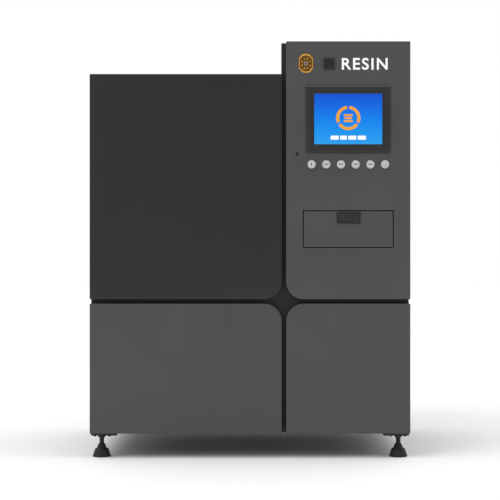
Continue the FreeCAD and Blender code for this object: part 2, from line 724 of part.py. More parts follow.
def chamber_lamps():
    """Two ultraviolet-free work lamps along the chamber's top front and left."""
    front = box(-600, 60, -470, -446, OPTICS_Z - 34, OPTICS_Z - 10)
    left = box(-INNER_X, -INNER_X + 24, -300, 300, OPTICS_Z - 34, OPTICS_Z - 10)
    return group([front, left])


# ---- tower and services ----


def electrics_plate():
    """Mounting plate across the tower with two cable ducts and a fixing angle at each side."""
    x0, x1 = PARTITION_X + PANEL_T, INNER_X
    plate = box(x0 + 20, x1 - 20, 380, 384, 760, 1760)
    parts = [plate]
    for a, b in ((x0, x0 + 22), (x1 - 22, x1)):
        parts.append(box(a, b, 384, 400, 760, 1760))
    for z in (1060, 1370):
        parts.append(box(x0 + 40, x1 - 40, 330, 380, z, z + 40))
    return fuse(parts)


def servo_drives():
    """Row of servo drives and the supply, side by side on the plate."""
    row = [box(x, x + 56, 240, 380, 1130, 1330) for x in (240, 304, 368)]
    row.append(box(470, 630, 260, 380, 1130, 1330))
    return group(row)


def industrial_pc():
    """Control computer with cooling fins along its front."""
    body = box(250, 480, 220, 380, 1440, 1700)
    fins = [box(x, x + 5, 200, 220, 1446, 1694) for x in range(258, 470, 14)]
    return fuse([body] + fins)


def chiller():
    """Laser chiller on the floor of the right bay: a case, a filler cap and a pump foot."""
    case = cassette(235, 635, -300, 260, BASE_TOP + 20, 620, 3)
    cap = rod(300, -200, 620, 28, 22)
    feet = [box(x, x + 40, y, y + 40, BASE_TOP, BASE_TOP + 20) for x in (245, 585) for y in (-290, 210)]
    return fuse([case, cap] + feet)


def power_inlet():
    """Recessed service pan at the rear with a three-phase inlet and the isolator's base."""
    x0, x1, z0, z1 = INLET
    pan = box(x0 + 0.5, x1 - 0.5, 530, REAR_Y, z0 + 0.5, z1 - 0.5)
    pan = pan.cut(box(x0 + 3, x1 - 3, 533, REAR_Y + 1, z0 + 3, z1 - 3))
    cx = (x0 + x1) / 2
    shroud = rod(cx, 533, z0 + 60, 36, 28, Y_AXIS).cut(rod(cx, 541, z0 + 60, 31, 21, Y_AXIS))
    pins = []
    for i in range(5):
        a = math.radians(90 + 72 * i)
        pins.append(rod(cx + 18 * math.cos(a), 541, z0 + 60 + 18 * math.sin(a), 4, 14, Y_AXIS))
    base = box(cx - 34, cx + 34, 533, 545, z0 + 130, z0 + 198).cut(rod(cx, 539, z0 + 164, 8.1, 7, Y_AXIS))
    return pan.multiFuse([shroud, base] + pins)


def isolator_knob():
    """Main isolator knob with a grip bar across it."""
    x, z = (INLET[0] + INLET[1]) / 2, INLET[2] + 164
    disc = rod(x, 545.2, z, 27, 8, Y_AXIS)
    grip = box(x - 7, x + 7, 553, 568, z - 25, z + 25)
    return fuse([disc, grip, rod(x, 540, z, 8, 6, Y_AXIS)])


def exhaust_fan_housing():
    """Extraction fan on the roof: flange, duct spigot and a cross that holds the motor."""
    x, y, z = EXHAUST_X, EXHAUST_Y, ROOF_Z
    flange = box(x - 80, x + 80, y - 80, y + 80, z, z + 8)
    spigot = rod(x, y, z, SPIGOT_R, 60)
    bore = rod(x, y, z - 1, 47, 62)
    arms = [box(x - 48, x + 48, y - 3, y + 3, z, z + 6), box(x - 3, x + 3, y - 48, y + 48, z, z + 6)]
    motor = rod(x, y, z, 16, 16).cut(rod(x, y, z + 6, 3 + FIT, 11))
    return fuse([flange.fuse(spigot).cut(bore), motor] + arms)


def exhaust_rotor():
    """Fan rotor: a hub with seven pitched blades on a short shaft."""
    x, y, z = EXHAUST_X, EXHAUST_Y, ROOF_Z + 17
    hub = rod(x, y, z, 15, 22).fuse(rod(x, y, z - 10, 3, 12))
    blades = []
    for i in range(7):
        blade = box(x + 12, x + 44, y - 1, y + 1, z, z + 22)
        blade.rotate(Vector(x + 28, y, z + 11), X_AXIS, 40)
        blade.rotate(Vector(x, y, z), Z_AXIS, 360 / 7 * i)
        blades.append(blade)
    return fuse([hub] + blades)


def main():
    """Make every sub-part and write one STEP file for each."""
    makers = [
        base_frame, foot_mounts, front_frame, partition_wall, chamber_roof, tower_roof, rear_panels,
        hinge_blocks, lower_left_door, lower_right_door, chamber_door_frame, chamber_door_pane,
        tower_door, monitor_housing, monitor_display, button_bezels, keyboard_flap, keyboard,
        flap_latch, lock_cylinder, badge_plate, buzzer_grille, chamber_deck, resin_vat, vat_stand,
        build_platform, z_carriage, z_column, z_screw, linear_rails, recoater_carriage,
        recoater_screw, servo_motors, optics_plate, scan_window, galvo_head, galvo_mirror_x,
        galvo_mirror_y, laser_head, chamber_lamps, electrics_plate, servo_drives, industrial_pc,
        chiller, power_inlet, isolator_knob, exhaust_fan_housing, exhaust_rotor,
    ]
    shapes = {make.__name__: make() for make in makers}
    shapes["left_side_panel"] = side_panel(-1)
    shapes["right_side_panel"] = side_panel(1)
    for number, x in enumerate(button_places(), 1):
        shapes[f"button_{number}"] = button_cap(x)
    for number, (x, y) in enumerate(foot_places(), 1):
        shapes[f"foot_{number}"] = foot(x, y)
    os.makedirs("parts", exist_ok=True)
    for name, shape in shapes.items():
        if not shape.isValid():
            raise RuntimeError(name + " is not a valid shape")
        shape.exportStep(f"parts/{name}.step")
    print(len(shapes), "sub-parts written")


main()
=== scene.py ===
"""Looks of a floor-standing resin printer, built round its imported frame.
Metres, +X right, +Y to the rear, +Z up, origin on the floor under the middle."""

import math

import bmesh
import bpy
import numpy as np
from bpy.props import BoolProperty, FloatProperty, FloatVectorProperty, IntProperty, PointerProperty, StringProperty
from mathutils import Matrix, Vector
from mathutils.geometry import tessellate_polygon


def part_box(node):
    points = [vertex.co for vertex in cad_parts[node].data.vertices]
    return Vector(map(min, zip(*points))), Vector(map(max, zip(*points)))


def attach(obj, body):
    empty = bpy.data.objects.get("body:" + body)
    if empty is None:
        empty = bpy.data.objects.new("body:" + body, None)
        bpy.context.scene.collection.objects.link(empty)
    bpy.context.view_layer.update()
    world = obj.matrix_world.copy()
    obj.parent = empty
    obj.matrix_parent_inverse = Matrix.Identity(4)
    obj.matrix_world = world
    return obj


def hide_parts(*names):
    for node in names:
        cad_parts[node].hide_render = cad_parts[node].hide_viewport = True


bl_info = {
    "name": "Resin Printer Cabinet",
    "version": (1, 0, 0),
    "blender": (4, 5, 0),
    "location": "3D View > Sidebar > Resin Printer",
    "description": "Sheet-metal cabinet, doors, controls and chamber of a floor-standing resin printer",
    "category": "Add Mesh",
}

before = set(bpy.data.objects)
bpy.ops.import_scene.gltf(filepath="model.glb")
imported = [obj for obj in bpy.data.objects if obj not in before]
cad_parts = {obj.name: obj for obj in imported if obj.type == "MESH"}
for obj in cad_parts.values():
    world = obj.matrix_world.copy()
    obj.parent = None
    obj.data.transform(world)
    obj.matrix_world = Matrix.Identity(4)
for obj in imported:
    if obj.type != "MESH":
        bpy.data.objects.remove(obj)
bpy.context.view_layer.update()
MM = 0.001

# Depths of the front, in metres
FACE_Y = -0.570
DOOR_REAR_Y = -0.528
CARCASS_Y = -0.520
HINGE_X = 0.700
HINGE_Y = -0.534
HINGE_H = 0.080
LOCK_R = 0.0075
EXHAUST = (-0.350, 0.440)  # x, y of the exhaust's axis
ISOLATOR = (0.500, 0.404)  # x, z of the isolator's axis
ARMS = (-0.455, -0.105)  # x of the platform's two hanger arms
LIFT_RAILS = (-0.380, -0.180)
LIFT_SCREW = (-0.280, 0.300)  # x, y
RECOAT_RAILS = (-0.642, 0.082)
RECOAT_SCREW = (0.115, 0.842)  # x, z
BEAM_Z = 1.585  # height of the laser's beam
HINGES = {
    "lower_left_door": (-1, (0.190, 0.540)),
    "lower_right_door": (1, (0.190, 0.540)),
    "chamber_door": (-1, (0.790, 1.170, 1.550)),
    "tower_door": (1, (0.790, 1.250, 1.690)),
}

# Each face of the cabinet as rows u, v and w: u and v run anticlockwise seen from outside, w runs inwards
PLACES = {
    "front": ((1, 0, 0), (0, 0, 1), (0, 1, 0)),
    "rear": ((-1, 0, 0), (0, 0, 1), (0, -1, 0)),
    "left": ((0, -1, 0), (0, 0, 1), (1, 0, 0)),
    "right": ((0, 1, 0), (0, 0, 1), (-1, 0, 0)),
    "top": ((1, 0, 0), (0, 1, 0), (0, 0, -1)),
    "bottom": ((1, 0, 0), (0, -1, 0), (0, 0, 1)),
}


# ---- shapes ----


class Shell:
    """Collects arrays of points and faces, then turns them into one mesh object."""

    def __init__(self):
        self.points = []
        self.faces = []
        self.smooth = []
        self.count = 0

    def add(self, points, faces, smooth=True):
        """Adds points (any shape ending in 3) and faces that index them."""
        points = np.asarray(points, float).reshape(-1, 3)
        faces = [tuple(f) for f in (np.asarray(faces) + self.count).tolist()]
        self.points.append(points)
        self.faces += faces
        self.smooth += [smooth] * len(faces)
        self.count += len(points)
        return self

    def join(self, other, shift=(0, 0, 0)):
        """Adds another shell's faces, moved by shift."""
        points = np.concatenate(other.points) + np.asarray(shift, float)
        self.faces += [tuple(i + self.count for i in f) for f in other.faces]
        self.smooth += other.smooth
        self.points.append(points)
        self.count += len(points)
        return self

    def turned(self, centre, axis, angle):
        """The same shell turned about a point: each point is p cos + (a x p) sin + a (a.p)(1 - cos)."""
        a = np.asarray(axis, float) / np.linalg.norm(axis)
        p = np.concatenate(self.points) - centre
        c, s = math.cos(angle), math.sin(angle)
        p = p * c + np.cross(a, p) * s + np.outer(p @ a, a) * (1 - c)
        made = Shell()
        made.points = [p + centre]
        made.faces, made.smooth, made.count = list(self.faces), list(self.smooth), self.count
        return made

    def piece(self, name, body, material, replaces=()):
        """Makes the object at the origin, welds its seams, and lets it ride on a body."""
        mesh = bpy.data.meshes.new(name)
        mesh.from_pydata(np.concatenate(self.points).tolist(), [], self.faces)
        mesh.polygons.foreach_set("use_smooth", self.smooth)
        work = bmesh.new()
        work.from_mesh(mesh)
        bmesh.ops.remove_doubles(work, verts=work.verts, dist=1e-6)
        bmesh.ops.dissolve_degenerate(work, edges=work.edges, dist=1e-7)
        work.to_mesh(mesh)
        work.free()
        mesh.set_sharp_from_angle(angle=math.radians(40))
        mesh.materials.append(material)
        obj = bpy.data.objects.new(name, mesh)
        bpy.context.scene.collection.objects.link(obj)
        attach(obj, body)
        if replaces:
            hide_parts(*replaces)
        return obj


def grid_faces(rows, columns, close_rows=False, close_columns=True, flip=False):
    """Quads of a grid of rows by columns, whose ends may be joined."""
    i = np.arange(rows if close_rows else rows - 1)[:, None]
    j = np.arange(columns if close_columns else columns - 1)[None, :]
    i2, j2 = (i + 1) % rows, (j + 1) % columns
    quads = [i * columns + j, i2 * columns + j, i2 * columns + j2, i * columns + j2]
    if flip:
        quads = quads[::-1]
    return np.stack([q + 0 * (i + j) for q in quads], -1).reshape(-1, 4)


def place(points, face, origin=(0, 0, 0)):
    """Turns (u, v, w) points into (x, y, z) on one of the cabinet's faces."""
    return np.asarray(points) @ np.array(PLACES[face], float) + np.asarray(origin, float)


def ring(area, radii, inset=0.0, steps=6):
    """Rounded rectangle u0, u1, v0, v1: four quarter arcs anticlockwise, each of radius minus inset."""
    u0, u1, v0, v1 = area
    r = np.resize(np.asarray(radii, float), 4)
    cu = np.array([u1 - r[0], u0 + r[1], u0 + r[2], u1 - r[3]])
    cv = np.array([v1 - r[0], v1 - r[1], v0 + r[2], v0 + r[3]])
    turn = (np.arange(4)[:, None] + np.linspace(0, 1, steps)[None, :]) * math.pi / 2
    reach = np.maximum(r - inset, 1e-6)[:, None]
    return np.stack([cu[:, None] + reach * np.cos(turn), cv[:, None] + reach * np.sin(turn)], -1).reshape(-1, 2)


def stack(area, radii, profile, steps=6):
    """A profile of (inset, depth) pairs carried round a rounded rectangle, as rings of (u, v, w)."""
    rows = []
    for inset, depth in profile:
        flat = ring(area, radii, inset, steps)
        rows.append(np.column_stack([flat, np.full(len(flat), depth)]))
    return np.array(rows)


def fill(rings, depth, inwards=False):
    """A flat face between an outline and the outlines of its holes, as triangles that face outwards."""
    flat = np.concatenate(rings)
    loops = [[Vector((u, v, 0)) for u, v in loop] for loop in rings]
    tris = np.array(tessellate_polygon(loops))
    a, b, c = flat[tris[:, 0]], flat[tris[:, 1]], flat[tris[:, 2]]
    area = (b - a)[:, 0] * (c - a)[:, 1] - (b - a)[:, 1] * (c - a)[:, 0]
    wrong = (area > 0) if inwards else (area < 0)
    tris[wrong] = tris[wrong][:, ::-1]
    return np.column_stack([flat, np.full(len(flat), depth)]), tris[np.abs(area) > 1e-14]


def quarter(radius):
    """Edge rounding: (inset, depth) of a quarter circle from the face to the side, in four steps."""
    t = np.linspace(0, math.pi / 2, 5)
    return np.column_stack([radius * (1 - np.sin(t)), radius * (1 - np.cos(t))])


def skin(shell, face, origin, rows, smooth=True, **how):
    """Lays a grid of (u, v, w) rings on a cabinet face."""
    rows = np.asarray(rows)
    return shell.add(place(rows, face, origin), grid_faces(*rows.shape[:2], **how), smooth)


def leaf(shell, face, origin, outside, inside):
    """Closes the space between two like grids: both faces, and a strip round their common rim."""
    rows, columns = outside.shape[:2]
    faces = grid_faces(rows, columns, close_columns=False)
    shell.add(place(outside, face, origin), faces)
    shell.add(place(inside, face, origin), faces[:, ::-1])
    index = np.arange(rows * columns).reshape(rows, columns)
    rim = np.concatenate([index[0], index[1:, -1], index[-1, -2::-1], index[-2:0:-1, 0]])
    sides = [grid.reshape(-1, 3)[rim] for grid in (outside, inside)]
    skin(shell, face, origin, sides, flip=True)


def cap(shell, face, origin, outlines, depth, inwards=False):
    """Closes an outline, less its holes, with a flat face at a depth."""
    points, faces = fill(outlines, depth, inwards)
    return shell.add(place(points, face, origin), faces, False)


def levels(outline, steps):
    """One outline repeated at (scale, height) steps, as rings of (u, v, w)."""
    return np.array([np.column_stack([outline * s, np.full(len(outline), -h)]) for s, h in steps])


def about(u, v, reach):
    """The area that reaches the same distance from a point to all four sides."""
    return (u - reach, u + reach, v - reach, v + reach)


def shrunk(area, by):
    """An area drawn in by a distance on all four sides."""
    return (area[0] + by, area[1] - by, area[2] + by, area[3] - by)


def panel(shell, face, origin, area, radii, depth, edge, holes=(), pockets=(), steps=6):
    """A closed slab on a cabinet face: a rounded rectangle with rounded edges front and rear. holes go right
    through and pockets are blind; each is (area, radius, edge) and a pocket adds its depth."""
    front = quarter(edge)
    side = np.vstack([front, front[::-1] * (1, -1) + (0, depth)])
    skin(shell, face, origin, stack(area, radii, side, steps))
    front_rings = [ring(area, radii, edge, steps)]
    rear_rings = front_rings[:]
    for spot, radius, lip in holes:
        back = min(lip, edge)
        wall = np.vstack([quarter(lip) * (-1, 1), quarter(back)[::-1] * (-1, -1) + (0, depth)])
        skin(shell, face, origin, stack(spot, radius, wall, steps), flip=True)
        front_rings.append(ring(spot, radius, -lip, steps))
        rear_rings.append(ring(spot, radius, -back, steps))
    for spot, radius, lip, deep in pockets:
        wall = np.vstack([quarter(lip) * (-1, 1), [(0, deep)]])
        skin(shell, face, origin, stack(spot, radius, wall, steps), flip=True)
        front_rings.append(ring(spot, radius, -lip, steps))
        cap(shell, face, origin, [ring(spot, radius, 0, steps)], deep)
    cap(shell, face, origin, front_rings, 0.0)
    return cap(shell, face, origin, rear_rings, depth, True)


def block(shell, low, high, edge=0.0015, radius=0.003, face="front"):
    """A closed box with rounded edges between two corners, laid on one of the cabinet's faces."""
    low, high = np.asarray(low, float), np.asarray(high, float)
    axes = np.array(PLACES[face], float)
    a, b = low @ axes.T, high @ axes.T
    lo, hi = np.minimum(a, b), np.maximum(a, b)
    radius = min(radius, 0.49 * min(hi[0] - lo[0], hi[1] - lo[1]))
    edge = min(edge, 0.9 * radius, 0.45 * (hi[2] - lo[2]))
    origin = axes.T @ np.array([0, 0, lo[2]])
    return panel(shell, face, origin, (lo[0], hi[0], lo[1], hi[1]), radius, hi[2] - lo[2], edge, steps=4)


def lathe(shell, profile, centre, face="top", segments=48):
    """A profile of (radius, height) pairs turned about a line; height runs outwards from the face."""
    t = np.arange(segments) * 2 * math.pi / segments
    r, h = np.asarray(profile, float).T
    points = np.stack([r[:, None] * np.cos(t), r[:, None] * np.sin(t), -h[:, None] + 0 * t], -1)
    return skin(shell, face, centre, points, flip=True)


def hex_prism(shell, centre, across, height, face="top"):
    """A hexagonal head or nut: six flats whose top edge is chamfered, as rings of six points."""
    t = np.arange(6) * math.pi / 3
    corner, edge = across / math.sqrt(3), 0.0006
    steps = [(corner, 0), (corner, height - edge), (corner - edge, height)]
    rows = levels(np.column_stack([np.cos(t), np.sin(t)]), steps)
    skin(shell, face, centre, rows, False, flip=True)
    shell.add(place(rows[-1], face, centre), [range(6)], False)
    return shell.add(place(rows[0], face, centre), [range(5, -1, -1)], False)


def box_of(node):
    """The two corners of a CAD node as arrays."""
    low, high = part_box(node)
    return np.array(low), np.array(high)


def middle_of(node):
    """The middle of a CAD node."""
    low, high = box_of(node)
    return (low + high) / 2


def area_of(node, face="front"):
    """A CAD node's rectangle on a cabinet face, as u0, u1, v0, v1."""
    low, high = box_of(node)
    axes = np.array(PLACES[face], float)
    a, b = low @ axes.T, high @ axes.T
    lo, hi = np.minimum(a, b), np.maximum(a, b)
    return (lo[0], hi[0], lo[1], hi[1])


# ---- materials ----


def linear(code):
    """sRGB hex to linear RGBA: c / 12.92 below 0.04045, else ((c + 0.055) / 1.055) ^ 2.4."""
    c = np.array([int(code[i : i + 2], 16) for i in (1, 3, 5)]) / 255
    c = np.where(c <= 0.04045, c / 12.92, ((c + 0.055) / 1.055) ** 2.4)
    return (*c.tolist(), 1.0)


def node(tree, kind, links=(), **settings):
    """Adds a shader node, sets its properties and input values, and links (input, output socket) pairs."""
    made = tree.nodes.new("ShaderNode" + kind)
    for key, value in settings.items():
        name = key.replace("_", " ")
        if name in made.inputs:
            made.inputs[name].default_value = value
        else:
            setattr(made, key, value)
    for name, source in links:
        tree.links.new(source, made.inputs[name])
    return made


def base_material(name, **values):
    """A material with one Principled surface whose plain values are set on its own sockets."""
    material = bpy.data.materials.new(name)
    material.use_nodes = True
    tree = material.node_tree
    surface = tree.nodes["Principled BSDF"]
    for key, value in values.items():
        surface.inputs[key.replace("_", " ")].default_value = value
    return material, tree, surface


def noise_at(tree, size_mm, stretch=(1, 1, 1), detail=2.0):
    """Noise whose grain is size_mm across, on Object coordinates in metres, stretched along an axis."""
    where = node(tree, "TexCoord")
    scaled = node(tree, "Mapping", [("Vector", where.outputs["Object"])], Scale=stretch)
    links = [("Vector", scaled.outputs["Vector"])]
    return node(tree, "TexNoise", links, Scale=1000.0 / size_mm, Detail=detail).outputs["Fac"]


def paint(tree, socket, factor, low, high):
    """Blends two sRGB colours by the middle of a 0 to 1 factor, into a socket."""
    ramp = node(tree, "ValToRGB", [("Fac", factor)])
    for element, place_, code in zip(ramp.color_ramp.elements, (0.3, 0.7), (low, high)):
        element.position, element.color = place_, linear(code)
    tree.links.new(ramp.outputs["Color"], socket)


def roughen(tree, surface, factor, low, high):
    """Spreads the roughness between two values by a 0 to 1 factor."""
    made = node(tree, "MapRange", [("Value", factor)], To_Min=low, To_Max=high)
    tree.links.new(made.outputs["Result"], surface.inputs["Roughness"])


def mix(tree, first, second, share):
    """Blends two patterns."""
    return node(tree, "Mix", [("A", first), ("B", second)], Factor=share).outputs["Result"]


def finish(tree, surface, tone, colours, rough_by, rough, relief, depth_mm, strength=0.3):
    """Links colour, roughness and a relief of a real depth, each by its own 0 to 1 pattern."""
    paint(tree, surface.inputs["Base Color"], tone, *colours)
    roughen(tree, surface, rough_by, *rough)
    made = node(tree, "Bump", [("Height", relief)], Strength=strength, Distance=depth_mm * MM)
    tree.links.new(made.outputs["Normal"], surface.inputs["Normal"])


def powder_coat(name, dark, light, rough=(0.42, 0.52)):
    """Polyester powder coat on folded steel. The cured powder leaves a fine orange peel about 2 mm across, so
    lights blur softly, and broad shade drift of a few percent shows over a whole panel."""
    material, tree, surface = base_material(name, IOR=1.5)
    drift = noise_at(tree, 260.0, detail=3.0)
    tone = mix(tree, drift, noise_at(tree, 1.6, detail=1.0), 0.25)
    finish(tree, surface, tone, (dark, light), drift, rough, noise_at(tree, 2.2), 0.05, 0.35)
    return material


def smoked_acrylic():
    """Cast acrylic tinted smoke grey with a satin anti-glare face: deep and near black, with a soft even
    reflection and hardly any grain."""
    material, tree, surface = base_material("smoked cast acrylic", IOR=1.49)
    grain = noise_at(tree, 1.2, detail=1.0)
    finish(tree, surface, noise_at(tree, 180.0), ("#0F0F10", "#131314"), grain, (0.36, 0.44), grain, 0.01, 0.2)
    return material


def moulded_plastic(name, dark, light, rough=(0.4, 0.5), spark_mm=1.1, depth_mm=0.03):
    """Injection-moulded plastic from a spark-eroded tool: a fine even grain that breaks up the highlight."""
    material, tree, surface = base_material(name, IOR=1.53)
    spark = noise_at(tree, spark_mm, detail=3.0)
    finish(tree, surface, noise_at(tree, 40.0), (dark, light), spark, rough, spark, depth_mm)
    return material


def brushed_metal(name, dark, light, stretch=(0.02, 1, 1), rough=(0.28, 0.42), line_mm=0.6):
    """Rolled and brushed metal: long fine scratches one way, drawn 0.6 mm apart, coarser than the real ones so
    that they show, which spread the highlight across the brushing."""
    material, tree, surface = base_material(name, Metallic=1.0)
    lines = noise_at(tree, line_mm, stretch)
    tone = mix(tree, lines, noise_at(tree, 120.0), 0.5)
    finish(tree, surface, tone, (dark, light), lines, rough, lines, 0.02)
    return material


def blasted_metal(name, dark, light, rough=(0.35, 0.5)):
    """Bead-blasted or etched metal: even sparkle-free grain, drawn at 0.9 mm so that it shows."""
    material, tree, surface = base_material(name, Metallic=1.0)
    grit = noise_at(tree, 0.9, detail=3.0)
    finish(tree, surface, noise_at(tree, 90.0), (dark, light), grit, rough, grit, 0.02)
    return material


def lit_screen(low, high, strength):
    """Backlit display behind anti-reflection glass: a blue ground that brightens downwards and
    that glare hardly dims."""
    material, tree, surface = base_material(
        "backlit display glass", Base_Color=linear("#020308"), Roughness=0.18, IOR=1.5, Specular_IOR_Level=0.12
    )
    where = node(tree, "TexCoord")
    height = node(tree, "SeparateXYZ", [("Vector", where.outputs["Object"])])
    links = [("Value", height.outputs["Z"])]
    share = node(tree, "MapRange", links, From_Min=low, From_Max=high).outputs["Result"]
    ramp = node(tree, "ValToRGB", [("Fac", share)])
    stops = ((0.0, "#2FA6F6"), (0.25, "#1C99F7"), (0.5, "#1486F4"), (0.75, "#126EE8"), (1.0, "#1157DC"))
    ramp.color_ramp.elements[0].color = linear(stops[0][1])
    ramp.color_ramp.elements[1].color = linear(stops[-1][1])
    for position, code in stops[1:-1]:
        ramp.color_ramp.elements.new(position).color = linear(code)
    tree.links.new(ramp.outputs["Color"], surface.inputs["Emission Color"])
    surface.inputs["Emission Strength"].default_value = strength
    return material


def lit_ink(name, dark, light, strength):
    """Lit screen graphics: flat light with a barely visible pixel-scale unevenness of 0.5 mm."""
    material, tree, surface = base_material(name, Base_Color=linear("#050505"), Roughness=0.3)
    paint(tree, surface.inputs["Emission Color"], noise_at(tree, 0.5), dark, light)
    surface.inputs["Emission Strength"].default_value = strength
    return material


def clear_glass(name, tint):
    """Coated optical glass: clear with a faint tint, its polish broken by very fine dust."""
    values = {"Base_Color": linear(tint), "Transmission_Weight": 0.9, "IOR": 1.46, "Coat_Weight": 0.2}
    material, tree, surface = base_material(name, **values)
    roughen(tree, surface, noise_at(tree, 3.0, detail=4.0), 0.02, 0.1)
    return material


def rubber():
    """Extruded EPDM rubber: black, matt, with the drawn skin's fine lengthwise unevenness."""
    material, tree, surface = base_material("EPDM rubber", IOR=1.52)
    grain = noise_at(tree, 2.0, detail=4.0)
    finish(tree, surface, grain, ("#0C0C0D", "#161617"), grain, (0.7, 0.85), grain, 0.05, 0.4)
    return material


def floor_paint():
    """Matt sealed studio floor: nearly white, with a faint cloudiness."""
    material, tree, surface = base_material("sealed studio floor", Roughness=0.9, IOR=1.3)
    paint(tree, surface.inputs["Base Color"], noise_at(tree, 900.0), "#FCFCFC", "#FEFEFE")
    return material


def make_materials():
    """Every finish of the machine, by the name that its pieces use."""
    return {
        "door": powder_coat("grey fine-texture powder coat", "#3E3E3F", "#434344"),
        "body": powder_coat("grey body powder coat", "#424243", "#484849"),
        "frame": powder_coat("black powder coat", "#111112", "#171718", (0.5, 0.62)),
        "pane": smoked_acrylic(),
        "bezel": moulded_plastic("black moulded ABS", "#101011", "#161617", (0.32, 0.42)),
        "black_plastic": moulded_plastic("black moulded nylon", "#0E0E0F", "#141415"),
        "grille": moulded_plastic("charcoal moulded ABS", "#060607", "#0B0B0C", (0.5, 0.6)),
        "key": moulded_plastic("grey moulded PBT keys", "#2A2A2C", "#323234", (0.5, 0.6)),
        "cap": moulded_plastic("white moulded polycarbonate", "#BCBCBC", "#C6C6C6", (0.25, 0.34), 0.8, 0.01),
        "ring": blasted_metal("satin chrome plate", "#E2E2E3", "#ECECED", (0.34, 0.44)),
        "ink": moulded_plastic("black pad-printed ink", "#1A1A1C", "#232325", (0.4, 0.5)),
        "white_ink": moulded_plastic("white screen-printed ink", "#FAFAFA", "#FFFFFF", (0.45, 0.55)),
        "gold": blasted_metal("gilt die-cast brass", "#CC9238", "#E2AC50", (0.24, 0.36)),
        "bronze": blasted_metal("dark patinated bronze", "#5A3E1C", "#7A5830", (0.4, 0.55)),
        "silver": blasted_metal("bright nickel plate", "#C8C8C4", "#DADAD6", (0.2, 0.3)),
        "oxide": blasted_metal("black-oxide steel", "#26262A", "#303034", (0.45, 0.6)),
        "foot": moulded_plastic("black glass-filled nylon", "#060607", "#0B0B0C", (0.62, 0.78), 1.4, 0.05),
        "zinc": blasted_metal("bright zinc plate", "#9A9A98", "#B4B4B0", (0.25, 0.4)),
        "stainless": brushed_metal("brushed stainless steel", "#8E8E90", "#A8A8AA"),
        "ground": brushed_metal("ground bearing steel", "#A8A8AA", "#C4C4C6", (1, 1, 0.02), (0.12, 0.22), 0.4),
        "aluminium": blasted_metal("clear anodised aluminium", "#9C9D9F", "#B0B1B3"),
        "dark_alu": blasted_metal("black anodised aluminium", "#26272A", "#303134"),
        "rubber": rubber(),
        "scan_glass": clear_glass("coated scan glass", "#E8F0FA"),
        "mirror": blasted_metal("coated scan mirror", "#D8DCE8", "#E4E8F0", (0.03, 0.06)),
        "lamp": lit_ink("amber lamp diffuser", "#FFB347", "#FFC26B", 1.6),
        "red": moulded_plastic("red moulded polyamide", "#A31512", "#B51C18", (0.3, 0.4)),
        "yellow": moulded_plastic("yellow moulded polyamide", "#D9A514", "#E5B325", (0.35, 0.45)),
        "grey_plastic": moulded_plastic("light grey moulded PBT", "#8A8C8E", "#96989A"),
    }


LOOK = make_materials()


def dress(material, *nodes):
    """Gives CAD nodes their material in every slot."""
    for name in nodes:
        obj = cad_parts[name]
        if not obj.material_slots:
            obj.data.materials.append(material)
        for held in obj.material_slots:
            held.material = material


# ---- sizes that a user would change ----


def length_property(name, description, default, high=20.0):
    """A length in metres, shown as a distance."""
    return FloatProperty(
        name=name, description=description, default=default, min=0.0, max=high,
        subtype="DISTANCE", unit="LENGTH", precision=4,
    )


def strength(name, description, default):
    """A number from zero upwards."""
    return FloatProperty(name=name, description=description, default=default, min=0.0)


class DoorSettings(bpy.types.PropertyGroup):
    """Sizes of the door skins, their pane and their seals."""

    edge: length_property("Edge rounding", "Rounding of the folded door edges", 0.0016)
    corner: length_property("Inner corner", "Radius of each door's corner at the crossing of the gaps", 0.077)
    square: length_property("Square corner", "Radius of each door's other corners, seen from the front", 0.003)
    skin: length_property("Outer skin depth", "Depth of the outer skin before the hinge pockets begin", 0.018)
    seal: length_property("Seal width", "Width of the rubber seal round each doorway", 0.012)


class PanelSettings(bpy.types.PropertyGroup):
    """Sizes of the side, rear and roof panels."""

    edge: length_property("Edge rounding", "Rounding of the panel edges", 0.002)
    louvre_wide: length_property("Louvre width", "Width of one pressed louvre", 0.110)
    louvre_high: length_property("Louvre height", "Height of one pressed louvre", 0.011)
    louvre_pitch: length_property("Louvre pitch", "Distance between louvres in a column", 0.022)
    louvre_rise: length_property("Louvre rise", "How far a louvre stands out of its panel", 0.0045)
    rows: IntProperty(name="Louvre rows", description="Louvres in each column of a bank", default=9, min=1, max=40)
    columns: IntProperty(name="Louvre columns", description="Columns of louvres in a bank", default=3, min=1, max=8)


class ControlSettings(bpy.types.PropertyGroup):
    """Sizes and words of the control tower's front."""

    bevel: length_property("Bezel bevel", "Width of the bevel round the monitor bezel", 0.007)
    lip: length_property("Bezel lip", "Width of the inner lip round the display", 0.006)
    glow: FloatProperty(
        name="Display light", description="Strength of the lit display", default=0.92, min=0.0, max=10.0
    )
    word: StringProperty(name="Front lettering", description="Generic word on the tower's top", default="RESIN")
    word_high: length_property("Lettering height", "Height of the capital letters", 0.050)
    amber: FloatVectorProperty(
        name="Progress ring", description="Colour of the progress ring on the display", size=3,
        default=(1.0, 0.42, 0.02), min=0.0, max=1.0, subtype="COLOR",
    )


class StageSettings(bpy.types.PropertyGroup):
    """Floor, lamps and camera."""

    distance: length_property("Camera distance", "From the door faces to the camera", 6.80)
    height: length_property("Camera height", "Height of the camera over the floor", 0.923)
    lens: FloatProperty(
        name="Focal length", description="Focal length on a 36 mm sensor", default=110.62, unit="CAMERA"
    )
    sky: strength("Surround light", "Strength of the white surround", 1.0)
    front: strength("Front share", "Share of the surround light in front", 0.50)
    zenith: strength("Overhead share", "Share of the surround light overhead", 1.0)
    key: strength("Key light", "Irradiance of the distant lamp at the front left", 0.6)
    top: strength("Top light", "Power of the overhead lamp in watts", 30.0)
    floor: length_property("Floor size", "Side of the square floor", 60.0, high=200.0)


